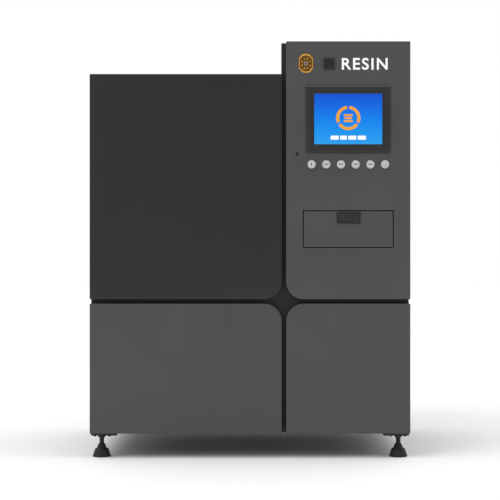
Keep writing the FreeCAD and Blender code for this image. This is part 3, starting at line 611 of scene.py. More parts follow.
class PrinterSettings(bpy.types.PropertyGroup):
    """All the settings of the machine and its stage."""

    doors: PointerProperty(type=DoorSettings, name="Doors", description="Sizes of the doors")
    panels: PointerProperty(type=PanelSettings, name="Panels", description="Sizes of the panels")
    controls: PointerProperty(type=ControlSettings, name="Controls", description="Sizes of the controls")
    stage: PointerProperty(type=StageSettings, name="Stage", description="Floor, lamps and camera")
    closed: BoolProperty(name="Seals shown", description="Fit the rubber seals round the doorways", default=True)


# ---- doors ----


def hinge_notches(area, heights):
    """Stretches of a door's inner tray between its hinge pockets, as (low, high) heights."""
    clear = 0.004
    z0, z1 = area[2], area[3]
    edges = [z0]
    for z in heights:
        edges += [z - clear, z + HINGE_H + clear]
    edges.append(z1)
    return list(zip(edges[::2], edges[1::2]))


def door_tray(shell, area, side, heights, radii, doors, holes=()):
    """The inner tray of a door behind its outer skin: one slab short of the hinge edge, and a strip along that
    edge between the hinge pockets."""
    z0, z1 = area[2], area[3]
    pocket = HINGE_X - 0.018
    inset = 0.0006
    depth = DOOR_REAR_Y - FACE_Y - doors.skin + 0.002
    origin = (0, FACE_Y + doors.skin - 0.002, 0)
    if side > 0:
        main = (area[0] + inset, pocket, z0 + inset, z1 - inset)
    else:
        main = (-pocket, area[1] - inset, z0 + inset, z1 - inset)
    panel(shell, "front", origin, main, radii, depth, 0.0012, holes)
    strip = sorted((side * (pocket - 0.001), side * (max(abs(area[0]), abs(area[1])) - inset)))
    for low, high in hinge_notches(area, heights):
        rect = (strip[0], strip[1], low + inset, high - inset)
        panel(shell, "front", origin, rect, 0.0015, depth, 0.0012, steps=3)


def moving_leaves(name, body):
    """The moving half of each hinge: a knuckle turned from a profile and a plate to the door."""
    side, heights = HINGES[body]
    shell = Shell()
    bore, outside = 0.00405, 0.008
    for z in heights:
        low, high = z + HINGE_H / 2 + 0.0005, z + HINGE_H
        tall = high - low
        profile = [(bore, 0), (outside - 0.0008, 0), (outside, 0.0008), (outside, tall - 0.0008)]
        profile += [(outside - 0.0008, tall), (bore, tall), (bore, 0)]
        lathe(shell, profile, (side * HINGE_X, HINGE_Y, low), segments=32)
        x = sorted((side * (HINGE_X - 0.004), side * (HINGE_X - 0.019)))
        block(shell, (x[0], HINGE_Y - 0.0078, low), (x[1], HINGE_Y - 0.0025, high), 0.0006, 0.001)
    return shell.piece(name, body, LOOK["oxide"])


def corner_radii(doors, corner):
    """Radii of a door in the order top right, top left, bottom left, bottom right, with one large corner."""
    radii = [doors.square] * 4
    radii[corner] = doors.corner
    return radii


class MakeLowerDoors(bpy.types.Operator):
    """Makes the two lower doors: powder-coated skins with one rounded corner each"""

    bl_idname = "resin_printer.lower_doors"
    bl_label = "Lower doors"

    def execute(self, context):
        doors = context.scene.resin_printer.doors
        for name, corner in (("lower_left_door", 0), ("lower_right_door", 1)):
            side, heights = HINGES[name]
            area = area_of(name)
            radii = corner_radii(doors, corner)
            shell = Shell()
            panel(shell, "front", (0, FACE_Y, 0), area, radii, doors.skin, doors.edge, steps=14)
            door_tray(shell, area, side, heights, radii, doors)
            shell.piece(name + "_skin", name, LOOK["door"], (name,))
            moving_leaves(name + "_leaves", name)
        return {"FINISHED"}


class MakeChamberDoor(bpy.types.Operator):
    """Makes the chamber door: a full-size smoked pane bonded to a black frame with a window"""

    bl_idname = "resin_printer.chamber_door"
    bl_label = "Chamber door"

    def execute(self, context):
        doors = context.scene.resin_printer.doors
        body = "chamber_door"
        side, heights = HINGES[body]
        area = area_of("chamber_door_pane")
        radii = corner_radii(doors, 3)
        thick = 0.006
        pane = Shell()
        panel(pane, "front", (0, FACE_Y, 0), area, radii, thick, 0.0009, steps=14)
        pane.piece("chamber_door_pane_smoked", body, LOOK["pane"], ("chamber_door_pane",))
        window = ((-0.620, 0.050, 0.795, 1.612), 0.012, 0.0012)
        rim = Shell()
        inner = shrunk(area, 0.0008)
        origin = (0, FACE_Y + thick + 0.0002, 0)
        panel(rim, "front", origin, inner, radii, doors.skin - thick, 0.0008, [window], steps=14)
        door_tray(rim, inner, side, heights, radii, doors, [window])
        rim.piece("chamber_door_rim", body, LOOK["frame"], ("chamber_door_frame",))
        seal = Shell()
        bead_on_panel(seal, shrunk(window[0], 0.001), 0.011, FACE_Y + thick + 0.0006, 0.008, 0.004)
        seal.piece("chamber_window_bead", body, LOOK["rubber"])
        moving_leaves("chamber_door_leaves", body)
        return {"FINISHED"}


def bead_on_panel(shell, area, radius, y_front, wide, deep):
    """A rubber bead inside an outline: a half-round profile, inset by wide sin t and deep by deep (1 - cos t)."""
    t = np.linspace(0, math.pi, 9)
    curve = np.column_stack([wide / 2 * (1 - np.cos(t)), deep * np.sin(t)])
    rows = stack(area, radius, [*curve, (0, 0)])
    skin(shell, "front", (0, y_front, 0), rows, flip=True)


class MakeSeals(bpy.types.Operator):
    """Fits a hollow rubber seal round each doorway of the front frame"""

    bl_idname = "resin_printer.seals"
    bl_label = "Door seals"

    def execute(self, context):
        settings = context.scene.resin_printer
        if not settings.closed:
            return {"FINISHED"}
        wide = settings.doors.seal
        tall = 0.0072
        doorways = {
            "chamber": (-0.664, 0.104, 0.728, 1.664),
            "tower": (0.196, 0.672, 0.728, 1.806),
            "lower_left": (-0.664, 0.104, 0.174, 0.662),
            "lower_right": (0.196, 0.672, 0.174, 0.662),
        }
        t = np.linspace(0, 2 * math.pi, 17)[:-1]
        curve = np.column_stack([wide / 2 * (1 - np.cos(t)), -tall / 2 * (1 + np.sin(t) * 0.98)])
        for name, area in doorways.items():
            shell = Shell()
            skin(shell, "front", (0, CARCASS_Y, 0), stack(area, 0.030, curve, 8), close_rows=True)
            shell.piece("seal_" + name, "cabinet", LOOK["rubber"])
        return {"FINISHED"}


# ---- control tower ----


BUTTONS = [f"button_{i}" for i in range(1, 7)]


def lock_centre():
    """The middle of the lock's round plug, whose cam reaches past it at the top."""
    return box_of("lock_cylinder")[0] + LOCK_R


class MakeTowerDoor(bpy.types.Operator):
    """Makes the tower door with its openings for the monitor, the buttons, the flap and the lock"""

    bl_idname = "resin_printer.tower_door"
    bl_label = "Tower door"

    def execute(self, context):
        doors = context.scene.resin_printer.doors
        name = "tower_door"
        side, heights = HINGES[name]
        area = area_of(name)
        radii = corner_radii(doors, 2)
        monitor = ((0.262, 0.608, 1.367, 1.640), 0.004, 0.0008)
        flap = area_of("keyboard_flap")
        flap = (0.234, 0.636, 0.932, flap[3] + 0.004)
        round_holes = []
        for spot, radius in (*((middle_of(button), 0.0172) for button in BUTTONS), (lock_centre(), 0.0078)):
            round_holes.append((about(spot[0], spot[2], radius), radius, 0.0006))
        shell = Shell()
        skin_holes = [monitor, (flap, 0.003, 0.0012)] + round_holes
        panel(shell, "front", (0, FACE_Y, 0), area, radii, doors.skin, doors.edge, skin_holes, steps=10)
        door_tray(shell, area, side, heights, radii, doors, [monitor, (flap, 0.003, 0.0002)])
        shell.piece("tower_door_skin", name, LOOK["door"], (name,))
        liner = Shell()
        panel(liner, "front", (0, -0.5318, 0), shrunk(flap, -0.006), 0.004, 0.0036, 0.0006)
        liner.piece("keyboard_pocket_back", name, LOOK["frame"])
        moving_leaves("tower_door_leaves", name)
        return {"FINISHED"}


def make_picture(controls, glass, y):
    """A progress ring of separate arcs with a small layer stack in it, and a bar with its caption blocks."""
    amber = tuple(controls.amber)
    code = "#" + "".join(f"{round(255 * max(c, 0) ** (1 / 2.2)):02X}" for c in amber)
    warm = lit_ink("amber screen graphics", code, "#F2A31C", 0.9)
    pale = lit_ink("white screen graphics", "#F4F8FF", "#FFFFFF", 1.0)
    cx = (glass[0] + glass[1]) / 2
    cz = glass[2] + (glass[3] - glass[2]) * 0.52
    plane = (0, y - 0.0004, 0)
    arcs = Shell()
    r0, r1 = 0.040, 0.054
    for start, end in ((96, 204), (216, 324), (-24, 84)):
        t = np.radians(np.linspace(start, end, 25))
        rows = [
            np.column_stack([cx + r * np.cos(t), cz + r * np.sin(t), np.full(25, d)])
            for r, d in ((r0, 0.0005), (r0, 0), (r1, 0), (r1, 0.0005), (r0, 0.0005))
        ]
        skin(arcs, "front", plane, rows, close_columns=False)
        for k, order in ((0, [[3, 2, 1, 0]]), (-1, [[0, 1, 2, 3]])):
            arcs.add(place([row[k] for row in rows[:4]], "front", plane), order, False)
    for i, wide in enumerate((0.040, 0.032, 0.040)):
        z = cz - 0.018 + i * 0.013
        rect = (cx - wide / 2, cx + wide / 2, z, z + 0.009)
        panel(arcs, "front", plane, rect, 0.002, 0.0005, 0.0001, steps=3)
    arcs.piece("screen_progress_ring", "tower_door", warm)
    bars = Shell()
    base = glass[2] + 0.020
    for a, b in ((-0.078, -0.042), (-0.036, -0.006), (0.0, 0.036), (0.042, 0.078)):
        panel(bars, "front", plane, (cx + a, cx + b, base, base + 0.018), 0.003, 0.0005, 0.0001, steps=3)
    bars.piece("screen_caption_blocks", "tower_door", pale)


class MakeMonitor(bpy.types.Operator):
    """Makes the touch monitor: bevelled bezel, inner lip, lit display and its picture"""

    bl_idname = "resin_printer.monitor"
    bl_label = "Monitor"

    def execute(self, context):
        controls = context.scene.resin_printer.controls
        body = "tower_door"
        area = area_of("monitor_housing")
        area = (*area[:3], area[3] - 0.0028)
        low, high = box_of("monitor_display")
        glass = (low[0] + 0.0037, high[0] - 0.0045, low[2] + 0.0037, high[2] - 0.0069)
        front = box_of("monitor_housing")[0][1]
        deep = FACE_Y - front
        bevel, lip = controls.bevel, controls.lip
        shell = Shell()
        soft = 0.0012
        outside = [(0.0, deep + 0.001), (0.0, deep * 0.54), (0.0004, deep * 0.48)]
        outside += [(bevel - soft, soft * 0.45), (bevel - soft * 0.4, soft * 0.12), (bevel, 0.0)]
        plane, corner, hole_corner = (0, front, 0), 0.0078, 0.0065
        skin(shell, "front", plane, stack(area, corner, outside[::-1], 8))
        hole_edge = shrunk(glass, -lip)
        cap(shell, "front", plane, [ring(area, corner, bevel, 8), ring(hole_edge, hole_corner, 0, 8)], 0.0)
        inside = [(0.0, 0.0), (0.0006, 0.0009), (0.001, 0.0035), (lip - 0.0016, 0.0046), (lip, 0.0050), (lip, 0.0078)]
        skin(shell, "front", plane, stack(hole_edge, hole_corner, [*inside, (lip, deep + 0.001)], 8), flip=True)
        back_rings = [ring(area, corner, 0, 8), ring(hole_edge, hole_corner, lip, 8)]
        cap(shell, "front", plane, back_rings, deep + 0.001, True)
        shell.piece("monitor_bezel", body, LOOK["bezel"])
        case = Shell()
        back = (0.2625, 0.6075, 1.3675, 1.6395)
        panel(case, "front", (0, FACE_Y + 0.0005, 0), back, 0.004, 0.0690, 0.0012)
        x0, z1 = back[0], back[3]
        for i in range(11):
            x = x0 + 0.05 + i * 0.024
            block(case, (x, -0.5022, z1 - 0.11), (x + 0.010, -0.5002, z1 - 0.03), 0.0006, 0.002, "rear")
        case.piece("monitor_case", body, LOOK["oxide"], ("monitor_housing",))
        screen = Shell()
        panel(screen, "front", (0, low[1] + 0.0001, 0), (low[0], high[0], low[2], high[2]), 0.003, 0.0056, 0.0006)
        material = lit_screen(glass[2], glass[3], controls.glow)
        screen.piece("monitor_glass", body, material, ("monitor_display",))
        make_picture(controls, glass, low[1])
        return {"FINISHED"}


def make_mark(name, number, x, z, y):
    """Printed marks: an upright stroke on the first cap, short dashes on the next four, a ring on the last."""
    shell = Shell()
    origin = (0, y, 0)
    if number == 0:
        panel(shell, "front", origin, (x - 0.0022, x + 0.0022, z - 0.005, z + 0.0065), 0.002, 0.0009, 0.0001, steps=4)
    elif number < 5:
        for k in (-1, 0, 1):
            rect = (x + k * 0.0066 - 0.0027, x + k * 0.0066 + 0.0027, z - 0.0020, z + 0.0020)
            panel(shell, "front", origin, rect, 0.0008, 0.0009, 0.0001, steps=3)
    else:
        t = [(0.0062, -0.0009), (0.0062, 0), (0.0070, 0), (0.0070, -0.0009), (0.0062, -0.0009)]
        lathe(shell, t, (x, y, z), "front", 40)
    shell.piece(name + "_mark", name, LOOK["ink"])


class MakeButtons(bpy.types.Operator):
    """Makes the six push buttons: a domed ring, a dished cap and its printed mark"""

    bl_idname = "resin_printer.buttons"
    bl_label = "Push buttons"

    def execute(self, context):
        rings = Shell()
        ring_front = box_of("button_bezels")[0][1]
        for number, name in enumerate(BUTTONS):
            x, _, z = middle_of(name)
            tall = FACE_Y - ring_front
            outline = [(0.0154, -0.030), (0.0154, tall - 0.0006), (0.0160, tall), (0.0174, tall - 0.0001)]
            outline += [(0.0186, tall - 0.0013), (0.0190, tall - 0.0032), (0.0190, 0.0), (0.0170, -0.0001)]
            outline += [(0.0170, -0.034), (0.0154, -0.034), (0.0154, -0.030)]
            lathe(rings, outline, (x, FACE_Y, z), "front", 64)
            cap = Shell()
            face = FACE_Y - box_of(name)[0][1]
            r = 0.0150
            t = np.linspace(0, 1, 9)
            dish = np.column_stack([t * (r - 0.0022), face - 0.0011 + 0.0009 * t**2])
            edge = [(r - 0.0014, face - 0.0001), (r - 0.0006, face - 0.0005), (r, face - 0.0016)]
            edge += [(r, -0.020), (0, -0.020)]
            lathe(cap, np.vstack([[(1e-7, face - 0.0011)], dish[1:], edge]), (x, FACE_Y, z), "front", 64)
            cap.piece(name + "_cap", name, LOOK["cap"], (name,))
            make_mark(name, number, x, z, FACE_Y - face + 0.0006)
        rings.piece("button_rings", "tower_door", LOOK["ring"], ("button_bezels",))
        return {"FINISHED"}


def make_paddle(x0, x1, z0, z1):
    """The latch paddle: a plate whose face curves outwards to a finger lip at the bottom, a grid whose front
    is pushed out by rise x (1 - v)^3."""
    shell = Shell()
    panel(shell, "front", (0, -0.5765, 0), (x0, x1, z0, z1), 0.003, 0.0038, 0.0010)
    u = np.linspace(0, 1, 25)
    v = np.linspace(0, 1, 13)
    uu, vv = np.meshgrid(u, v)
    ends = np.clip(np.minimum(uu, 1 - uu) / 0.08, 0, 1)
    rise = 0.0021 * (1 - vv) ** 2 * np.sin(ends * math.pi / 2) * np.sin(np.clip(vv / 0.12, 0, 1) * math.pi / 2)
    wide, tall = x1 - x0 - 0.010, (z1 - z0) * 0.45
    points = np.stack([x0 + 0.005 + uu * wide, z0 + 0.003 + vv * tall, -rise], -1)
    base = points * (1, 1, 0) + (0, 0, 0.0005)
    leaf(shell, "front", (0, -0.57652, 0), base, points)
    profile = [(0, 0), (0.0008, 0), (0.001, 0.0003), (0.001, 0.0997), (0.0008, 0.1), (0, 0.1)]
    lathe(shell, profile, (0.3865, -0.5732, 1.0835), "right", 16)
    shell.piece("latch_paddle", "flap_latch", LOOK["black_plastic"], ("flap_latch",))


def make_keyboard():
    """The keyboard: a tray and five rows of dished keys, the last with a long bar."""
    low, high = box_of("keyboard")
    base = Shell()
    block(base, (low[0], low[1], low[2]), (high[0], low[1] + 0.012, high[2]), 0.0015, 0.006, "rear")
    base.piece("keyboard_tray", "keyboard_flap", LOOK["black_plastic"], ("keyboard",))
    keys = Shell()
    y0, y1 = low[1] + 0.0118, high[1]
    for row in range(5):
        z = low[2] + 0.006 + row * 0.0235
        widths = [21] * 14 if row else [21, 21, 21, 144, 21, 21, 21, 21]
        x = low[0] + 0.006
        for wide in widths:
            block(keys, (x, y0, z), (x + wide * MM, y1, z + 0.020), 0.0016, 0.0025, "rear")
            x += wide * MM + 0.0036
    keys.piece("keyboard_keys", "keyboard_flap", LOOK["key"])


class MakeFlap(bpy.types.Operator):
    """Makes the keyboard flap, its latch surround and paddle, and the keyboard behind it"""

    bl_idname = "resin_printer.flap"
    bl_label = "Keyboard flap"

    def execute(self, context):
        area = (0.238, 0.632, 0.936, 1.095)
        shell = Shell()
        panel(shell, "front", (0, FACE_Y, 0), area, 0.0035, 0.004, 0.0011)
        for z in (area[2] + 0.012, area[3] - 0.020):
            block(shell, (area[0] + 0.004, FACE_Y + 0.0035, z - 0.004), (area[1] - 0.004, FACE_Y + 0.0075, z + 0.004))
        for x0, x1 in ((0.230, 0.242), (0.628, 0.640)):
            tall = x1 - x0
            profile = [(0, 0), (0.0016, 0), (0.0019, 0.0003), (0.0019, tall - 0.0003), (0.0016, tall), (0, tall)]
            lathe(shell, profile, (x0, -0.568, 0.938), "right", 24)
        shell.piece("keyboard_flap_skin", "keyboard_flap", LOOK["door"], ("keyboard_flap",))
        u0, u1, w0, w1 = 0.384, 0.489, 1.040, 1.092
        surround = Shell()
        hole = ((u0 + 0.004, u1 - 0.004, w0 + 0.004, w1 - 0.004), 0.003, 0.0007)
        panel(surround, "front", (0, -0.575, 0), (u0, u1, w0, w1), 0.005, 0.0055, 0.0014, [hole])
        panel(surround, "front", (0, -0.571, 0), hole[0], 0.003, 0.0015, 0.0001)
        surround.piece("latch_surround", "keyboard_flap", LOOK["black_plastic"])
        make_paddle(u0 + 0.005, u1 - 0.005, w0 + 0.005, w1 - 0.006)
        make_keyboard()
        return {"FINISHED"}


def make_plaque():
    """Plaque with scooped shoulders: nested outlines, each a rectangle with quarter circles cut from its
    corners and a parabola h - c x^2 above and below, step down to a dark field with kites and a ring."""
    low, high = box_of("badge_plate")
    cx, _, cz = (low + high) / 2
    w, _, h = (high - low) / 2 * (0.92, 1, 0.95)
    cut = 0.010
    turn = np.linspace(-math.pi / 2, -math.pi, 7)
    scoop = np.column_stack([w + cut * np.cos(turn), h - 0.006 + cut * np.sin(turn)])
    crown = np.linspace(w - cut, 0, 6)[1:-1]
    arch = np.column_stack([crown, h - 0.006 * (crown / (w - cut)) ** 2])
    corner = np.vstack([scoop, arch])
    upper = np.vstack([corner, [[0, h]], corner[::-1] * (-1, 1)])
    outline = np.vstack([upper, -upper])
    steps = [(1.0, 0.0), (1.0, 0.0032), (0.975, 0.0039), (0.90, 0.0039), (0.87, 0.0032), (0.86, 0.0016)]
    shell = Shell()
    origin = (cx, FACE_Y, cz)
    skin(shell, "front", origin, levels(outline, steps), False, flip=True)
    cap(shell, "front", origin, [outline], 0.0, True)
    cap(shell, "front", origin, [outline * 0.86], -0.0016)
    shell.piece("plaque_rim", "tower_door", LOOK["gold"], ("badge_plate",))
    field = Shell()
    inner = outline * 0.84
    steps = ((1.0, 0.0014), (1.0, 0.0018), (0.97, 0.0020))
    skin(field, "front", origin, levels(inner, steps), False, flip=True)
    cap(field, "front", origin, [inner * 0.97], -0.0020)
    cap(field, "front", origin, [inner], -0.0014, True)
    field.piece("plaque_field", "tower_door", LOOK["bronze"])
    facets = Shell()
    for k in range(8):
        t = math.radians(45 * k + 22.5)
        reach = 0.026 if k % 2 else 0.022
        a, b = np.array([math.cos(t), math.sin(t) * 1.2]), np.array([-math.sin(t), math.cos(t)])
        flat = np.array([a * 0.0125, a * 0.019 + b * 0.0042, a * reach, a * 0.019 - b * 0.0042])
        top = np.array([*(a * 0.0188), -0.0033])
        points = np.vstack([np.column_stack([flat, np.full(4, -0.0019)]), top])
        faces = [[i, (i + 1) % 4, 4] for i in range(4)] + [[3, 2, 1], [3, 1, 0]]
        facets.add(place(points, "front", origin), faces, False)
    facets.piece("plaque_facets", "tower_door", LOOK["gold"])
    centre = Shell()
    profile = [(0.0058, 0.0015), (0.0086, 0.0015), (0.0086, 0.0028), (0.0080, 0.0034), (0.0064, 0.0034)]
    profile += [(0.0058, 0.0028), (0.0058, 0.0015)]
    lathe(centre, profile, origin, "front", 40)
    centre.piece("plaque_centre_ring", "tower_door", LOOK["silver"])


def make_buzzer():
    """Buzzer: a bevelled square with a sunk round field crossed by slats, and its capsule behind."""
    low, high = box_of("buzzer_grille")
    area = (low[0], high[0], low[2], high[2])
    cx, _, cz = (low + high) / 2
    r = 0.0195
    shell = Shell()
    opening = (about(cx, cz, r), r, 0.0006)
    panel(shell, "front", (0, low[1], 0), area, 0.0045, 0.0052, 0.0017, [opening])
    panel(shell, "front", (0, low[1] + 0.0028, 0), opening[0], r, 0.0022, 0.0002)
    for i in range(7):
        z = cz + (i - 3) * 0.0052
        half = math.sqrt(max(r**2 - (z - cz) ** 2, 0)) + 0.0004
        front, back = low[1] + 0.0008, low[1] + 0.0032
        block(shell, (cx - half, front, z - 0.0012), (cx + half, back, z + 0.0012), 0.0005, 0.0008)
    capsule = [(0, 0), (0.018, 0), (0.0195, 0.0015), (0.0195, 0.022), (0, 0.022)]
    lathe(shell, capsule, (cx, FACE_Y + 0.022, cz), "front")
    shell.piece("buzzer_body", "tower_door", LOOK["grille"], ("buzzer_grille",))


def make_lock():
    """Lock: a turned plug with a keyway slot and a domed rim ring round it, and the cam behind the skin. A dark
    rubber sheet down the slot paints the shade inside the keyway.
    """
    x, _, z = lock_centre()
    face = box_of("lock_cylinder")[0][1]
    plug = Shell()
    slot = (x - 0.0042, x + 0.0042, z - 0.0071, z + 0.0071)
    pockets = [(slot, 0.0041, 0.0002, 0.012)]
    panel(plug, "front", (0, face, 0), about(x, z, LOCK_R), LOCK_R, 0.026, 0.0001, pockets=pockets, steps=12)
    block(plug, (x - 0.006, FACE_Y + 0.0252, z - 0.006), (x + 0.006, FACE_Y + 0.029, z + 0.026), 0.0006, 0.003)
    plug.piece("lock_plug", "lock_cylinder", LOOK["door"], ("lock_cylinder",))
    rim = Shell()
    profile = [(0.0079, -0.0100), (0.0079, 0.0003), (0.0084, 0.0006), (0.0100, 0.0006), (0.0111, 0.0003)]
    profile += [(0.0114, 0.0), (0.0092, -0.0001), (0.0092, -0.0100), (0.0079, -0.0100)]
    lathe(rim, profile, (x, FACE_Y, z), "front", 40)
    rim.piece("lock_rim", "tower_door", LOOK["door"])
    # painted shade: a dark rubber sheet 5 mm down the keyway stands in for the shade in the slot
    keyway = Shell()
    panel(keyway, "front", (0, face + 0.0050, 0), shrunk(slot, 0.0002), 0.0039, 0.003, 0.0002, steps=4)
    keyway.piece("lock_keyway_shade", "lock_cylinder", LOOK["rubber"])


def make_lettering(controls, x, z):
    """Raised block letters of a generic word: a text curve made a mesh before its place is applied."""
    if not controls.word:
        raise RuntimeError("the front lettering needs at least one letter")
    curve = bpy.data.curves.new("front_word", "FONT")
    curve.body = controls.word
    curve.size = controls.word_high / 0.70
    curve.space_character = 1.18
    curve.extrude = 0.0004
    curve.bevel_depth = 0.0001
    curve.offset = 0.0012
    curve.resolution_u = 6
    curve.align_y = "CENTER"
    text = bpy.data.objects.new("front_word_curve", curve)
    context = bpy.context
    context.collection.objects.link(text)
    context.view_layer.update()
    mesh = bpy.data.meshes.new_from_object(text.evaluated_get(context.evaluated_depsgraph_get()))
    bpy.data.objects.remove(text)
    bpy.data.curves.remove(curve)
    count = len(mesh.vertices)
    flat = np.empty(count * 3)
    mesh.vertices.foreach_get("co", flat)
    flat = flat.reshape(-1, 3)
    flat[:, 0] -= flat[:, 0].min()
    flat[:, 1] -= (flat[:, 1].min() + flat[:, 1].max()) / 2
    flat[:, 2] *= -1
    points = place(flat, "front", (x, FACE_Y - 0.0004, z))
    mesh.vertices.foreach_set("co", points.ravel())
    bm = bmesh.new()
    bm.from_mesh(mesh)
    bmesh.ops.remove_doubles(bm, verts=bm.verts, dist=1e-6)
    bmesh.ops.recalc_face_normals(bm, faces=bm.faces)
    bm.to_mesh(mesh)
    bm.free()
    mesh.materials.clear()
    mesh.materials.append(LOOK["white_ink"])
    word = bpy.data.objects.new("front_lettering", mesh)
    context.collection.objects.link(word)
    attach(word, "tower_door")


class MakeTowerFittings(bpy.types.Operator):
    """Makes the plaque, the buzzer grille, the lock and the generic lettering on the tower door"""

    bl_idname = "resin_printer.tower_fittings"
    bl_label = "Plaque, buzzer, lock and lettering"

    def execute(self, context):
        controls = context.scene.resin_printer.controls
        make_plaque()
        make_buzzer()
        make_lock()
        low, high = box_of("buzzer_grille")
        make_lettering(controls, high[0] + 0.031, (low[2] + high[2]) / 2)
        return {"FINISHED"}


# ---- cabinet ----


class MakeFrame(bpy.types.Operator):
    """Dresses the welded frame and makes the fixed hinge halves with their rounded knuckles and screws"""

    bl_idname = "resin_printer.frame"
    bl_label = "Frame and hinges"

    def execute(self, context):
        dress(LOOK["frame"], "front_frame", "base_frame", "vat_stand")
        shell = Shell()
        screws = Shell()
        for side, heights in HINGES.values():
            for z in heights:
                x = side * HINGE_X
                tall = HINGE_H / 2
                profile = [(0, 0), (0.0072, 0), (0.008, 0.0008), (0.008, tall - 0.0008), (0.0072, tall)]
                profile += [(0.004, tall), (0.004, HINGE_H - 0.0016), (0.0034, HINGE_H - 0.001), (0, HINGE_H - 0.001)]
                lathe(shell, profile, (x, HINGE_Y, z), segments=32)
                block(shell, (x - 0.006, HINGE_Y + 0.002, z), (x + 0.006, CARCASS_Y, z + tall), 0.0008, 0.0015)
        shell.piece("hinge_fixed_halves", "cabinet", LOOK["oxide"], ("hinge_blocks",))
        for x in (-0.682, 0.122, 0.178, 0.684):
            for z in (0.40, 0.62, 0.76, 1.02, 1.36, 1.62):
                button_head(screws, (x, CARCASS_Y, z), "front", 0.0055, 0.0026)
        screws.piece("frame_screws", "cabinet", LOOK["zinc"])
        return {"FINISHED"}


def button_head(shell, centre, face, radius, height):
    """A domed screw head with a six-sided socket: an arc turned about its axis, and a sunk hexagon."""
    across = radius * 0.95
    t = np.linspace(0, math.pi / 2, 6)
    low = math.sqrt(1 - (across * 0.58 / radius) ** 2)
    dome = np.column_stack([radius * np.cos(t), height * np.sin(t)])
    keep = dome[dome[:, 0] > across * 0.62]
    socket = [(across * 0.60, height * low), (across * 0.56, height * 0.35), (0, height * 0.35)]
    lathe(shell, [(radius, -0.0002), *keep, *socket], centre, face, 18)


def louvre(shell, face, origin, u, v, wide, high, rise):
    """One pressed louvre: a hood whose height over the panel is rise sin(pi s) across its width and grows
    from nothing at the top edge to the full rise at the open lower edge."""
    columns, rows = 15, 5
    s = np.linspace(0, 1, columns)
    t = np.linspace(0, 1, rows)
    ss, tt = np.meshgrid(s, t)
    ends = np.sqrt(np.clip(1 - (2 * ss - 1) ** 8, 0, 1))
    lift = rise * ends * np.sin(tt * math.pi / 2)
    outside = np.stack([u + (ss - 0.5) * wide, v + (0.5 - tt) * high, -lift], -1)
    leaf(shell, face, origin, outside, outside + (0, 0, 0.0008))


def louvre_bank(shell, dark, face, origin, centre, panels):
    """Rows and columns of louvres round a centre, each over a dark sheet that paints the shade of the opening under
    its hood.
    """
    for column in range(panels.columns):
        u = centre[0] + (column - (panels.columns - 1) / 2) * (panels.louvre_wide + 0.022)
        for row in range(panels.rows):
            v = centre[1] + (row - (panels.rows - 1) / 2) * panels.louvre_pitch
            louvre(shell, face, origin, u, v, panels.louvre_wide, panels.louvre_high, panels.louvre_rise)
            # painted shade: a dark sheet on the panel under each hood stands in for the shaded opening
            rect = (u - panels.louvre_wide * 0.46, u + panels.louvre_wide * 0.46, v - panels.louvre_high * 0.5, v)
            panel(dark, face, origin, rect, 0.001, 0.0006, 0.0001, steps=3)


def slot_bank(centre, panels):
    """Blind slots of a bank round a centre, as the pockets of a panel."""
    half = panels.louvre_wide * 0.46
    slots = []
    for column in range(panels.columns):
        u = centre[0] + (column - (panels.columns - 1) / 2) * (panels.louvre_wide + 0.022)
        for row in range(panels.rows):
            v = centre[1] + (row - (panels.rows - 1) / 2) * panels.louvre_pitch
            slots.append(((u - half, u + half, v - 0.0032, v + 0.0032), 0.0031, 0.0008, 0.008))
    return slots


def make_side_panel(node_name, face, plane, low, high, panels, dark):
    """A side: one folded cassette with screws along its edges and two louvre banks; the right side also gets two
    grips.
    """
    shell = Shell()
    area = area_of(node_name, face)
    origin = (plane, 0, 0)
    deep = abs(high[0] - low[0])
    panel(shell, face, origin, area, 0.004, deep, panels.edge)
    sign = 1 if face == "right" else -1
    middle = (low[1] + high[1]) / 2 * sign
    for z in (0.33, 1.50):
        louvre_bank(shell, dark, face, (plane + sign * 0.0002, 0, 0), (middle + 0.12 * sign, z), panels)
    shell.piece(node_name + "_skin", "cabinet", LOOK["body"], (node_name,))
    screws = Shell()
    for z in np.linspace(low[2] + 0.06, high[2] - 0.06, 7):
        for y in (low[1] + 0.018, high[1] - 0.018):
            button_head(screws, (plane, y, z), face, 0.0065, 0.0030)
    screws.piece(node_name + "_screws", "cabinet", LOOK["oxide"])
    if face == "left":
        return
    grip = Shell()
    for y in (-0.20, 0.28):
        spot = (y * sign - 0.06, y * sign + 0.06, 0.98, 1.02)
        hole = (shrunk(spot, 0.007), 0.013, 0.0012)
        panel(grip, face, (plane + sign * 0.0035, 0, 0), spot, 0.019, 0.004, 0.0015, [hole])
        panel(grip, face, (plane + sign * 0.0009, 0, 0), shrunk(spot, 0.006), 0.013, 0.001, 0.0002)
    grip.piece(node_name + "_grips", "cabinet", LOOK["black_plastic"])


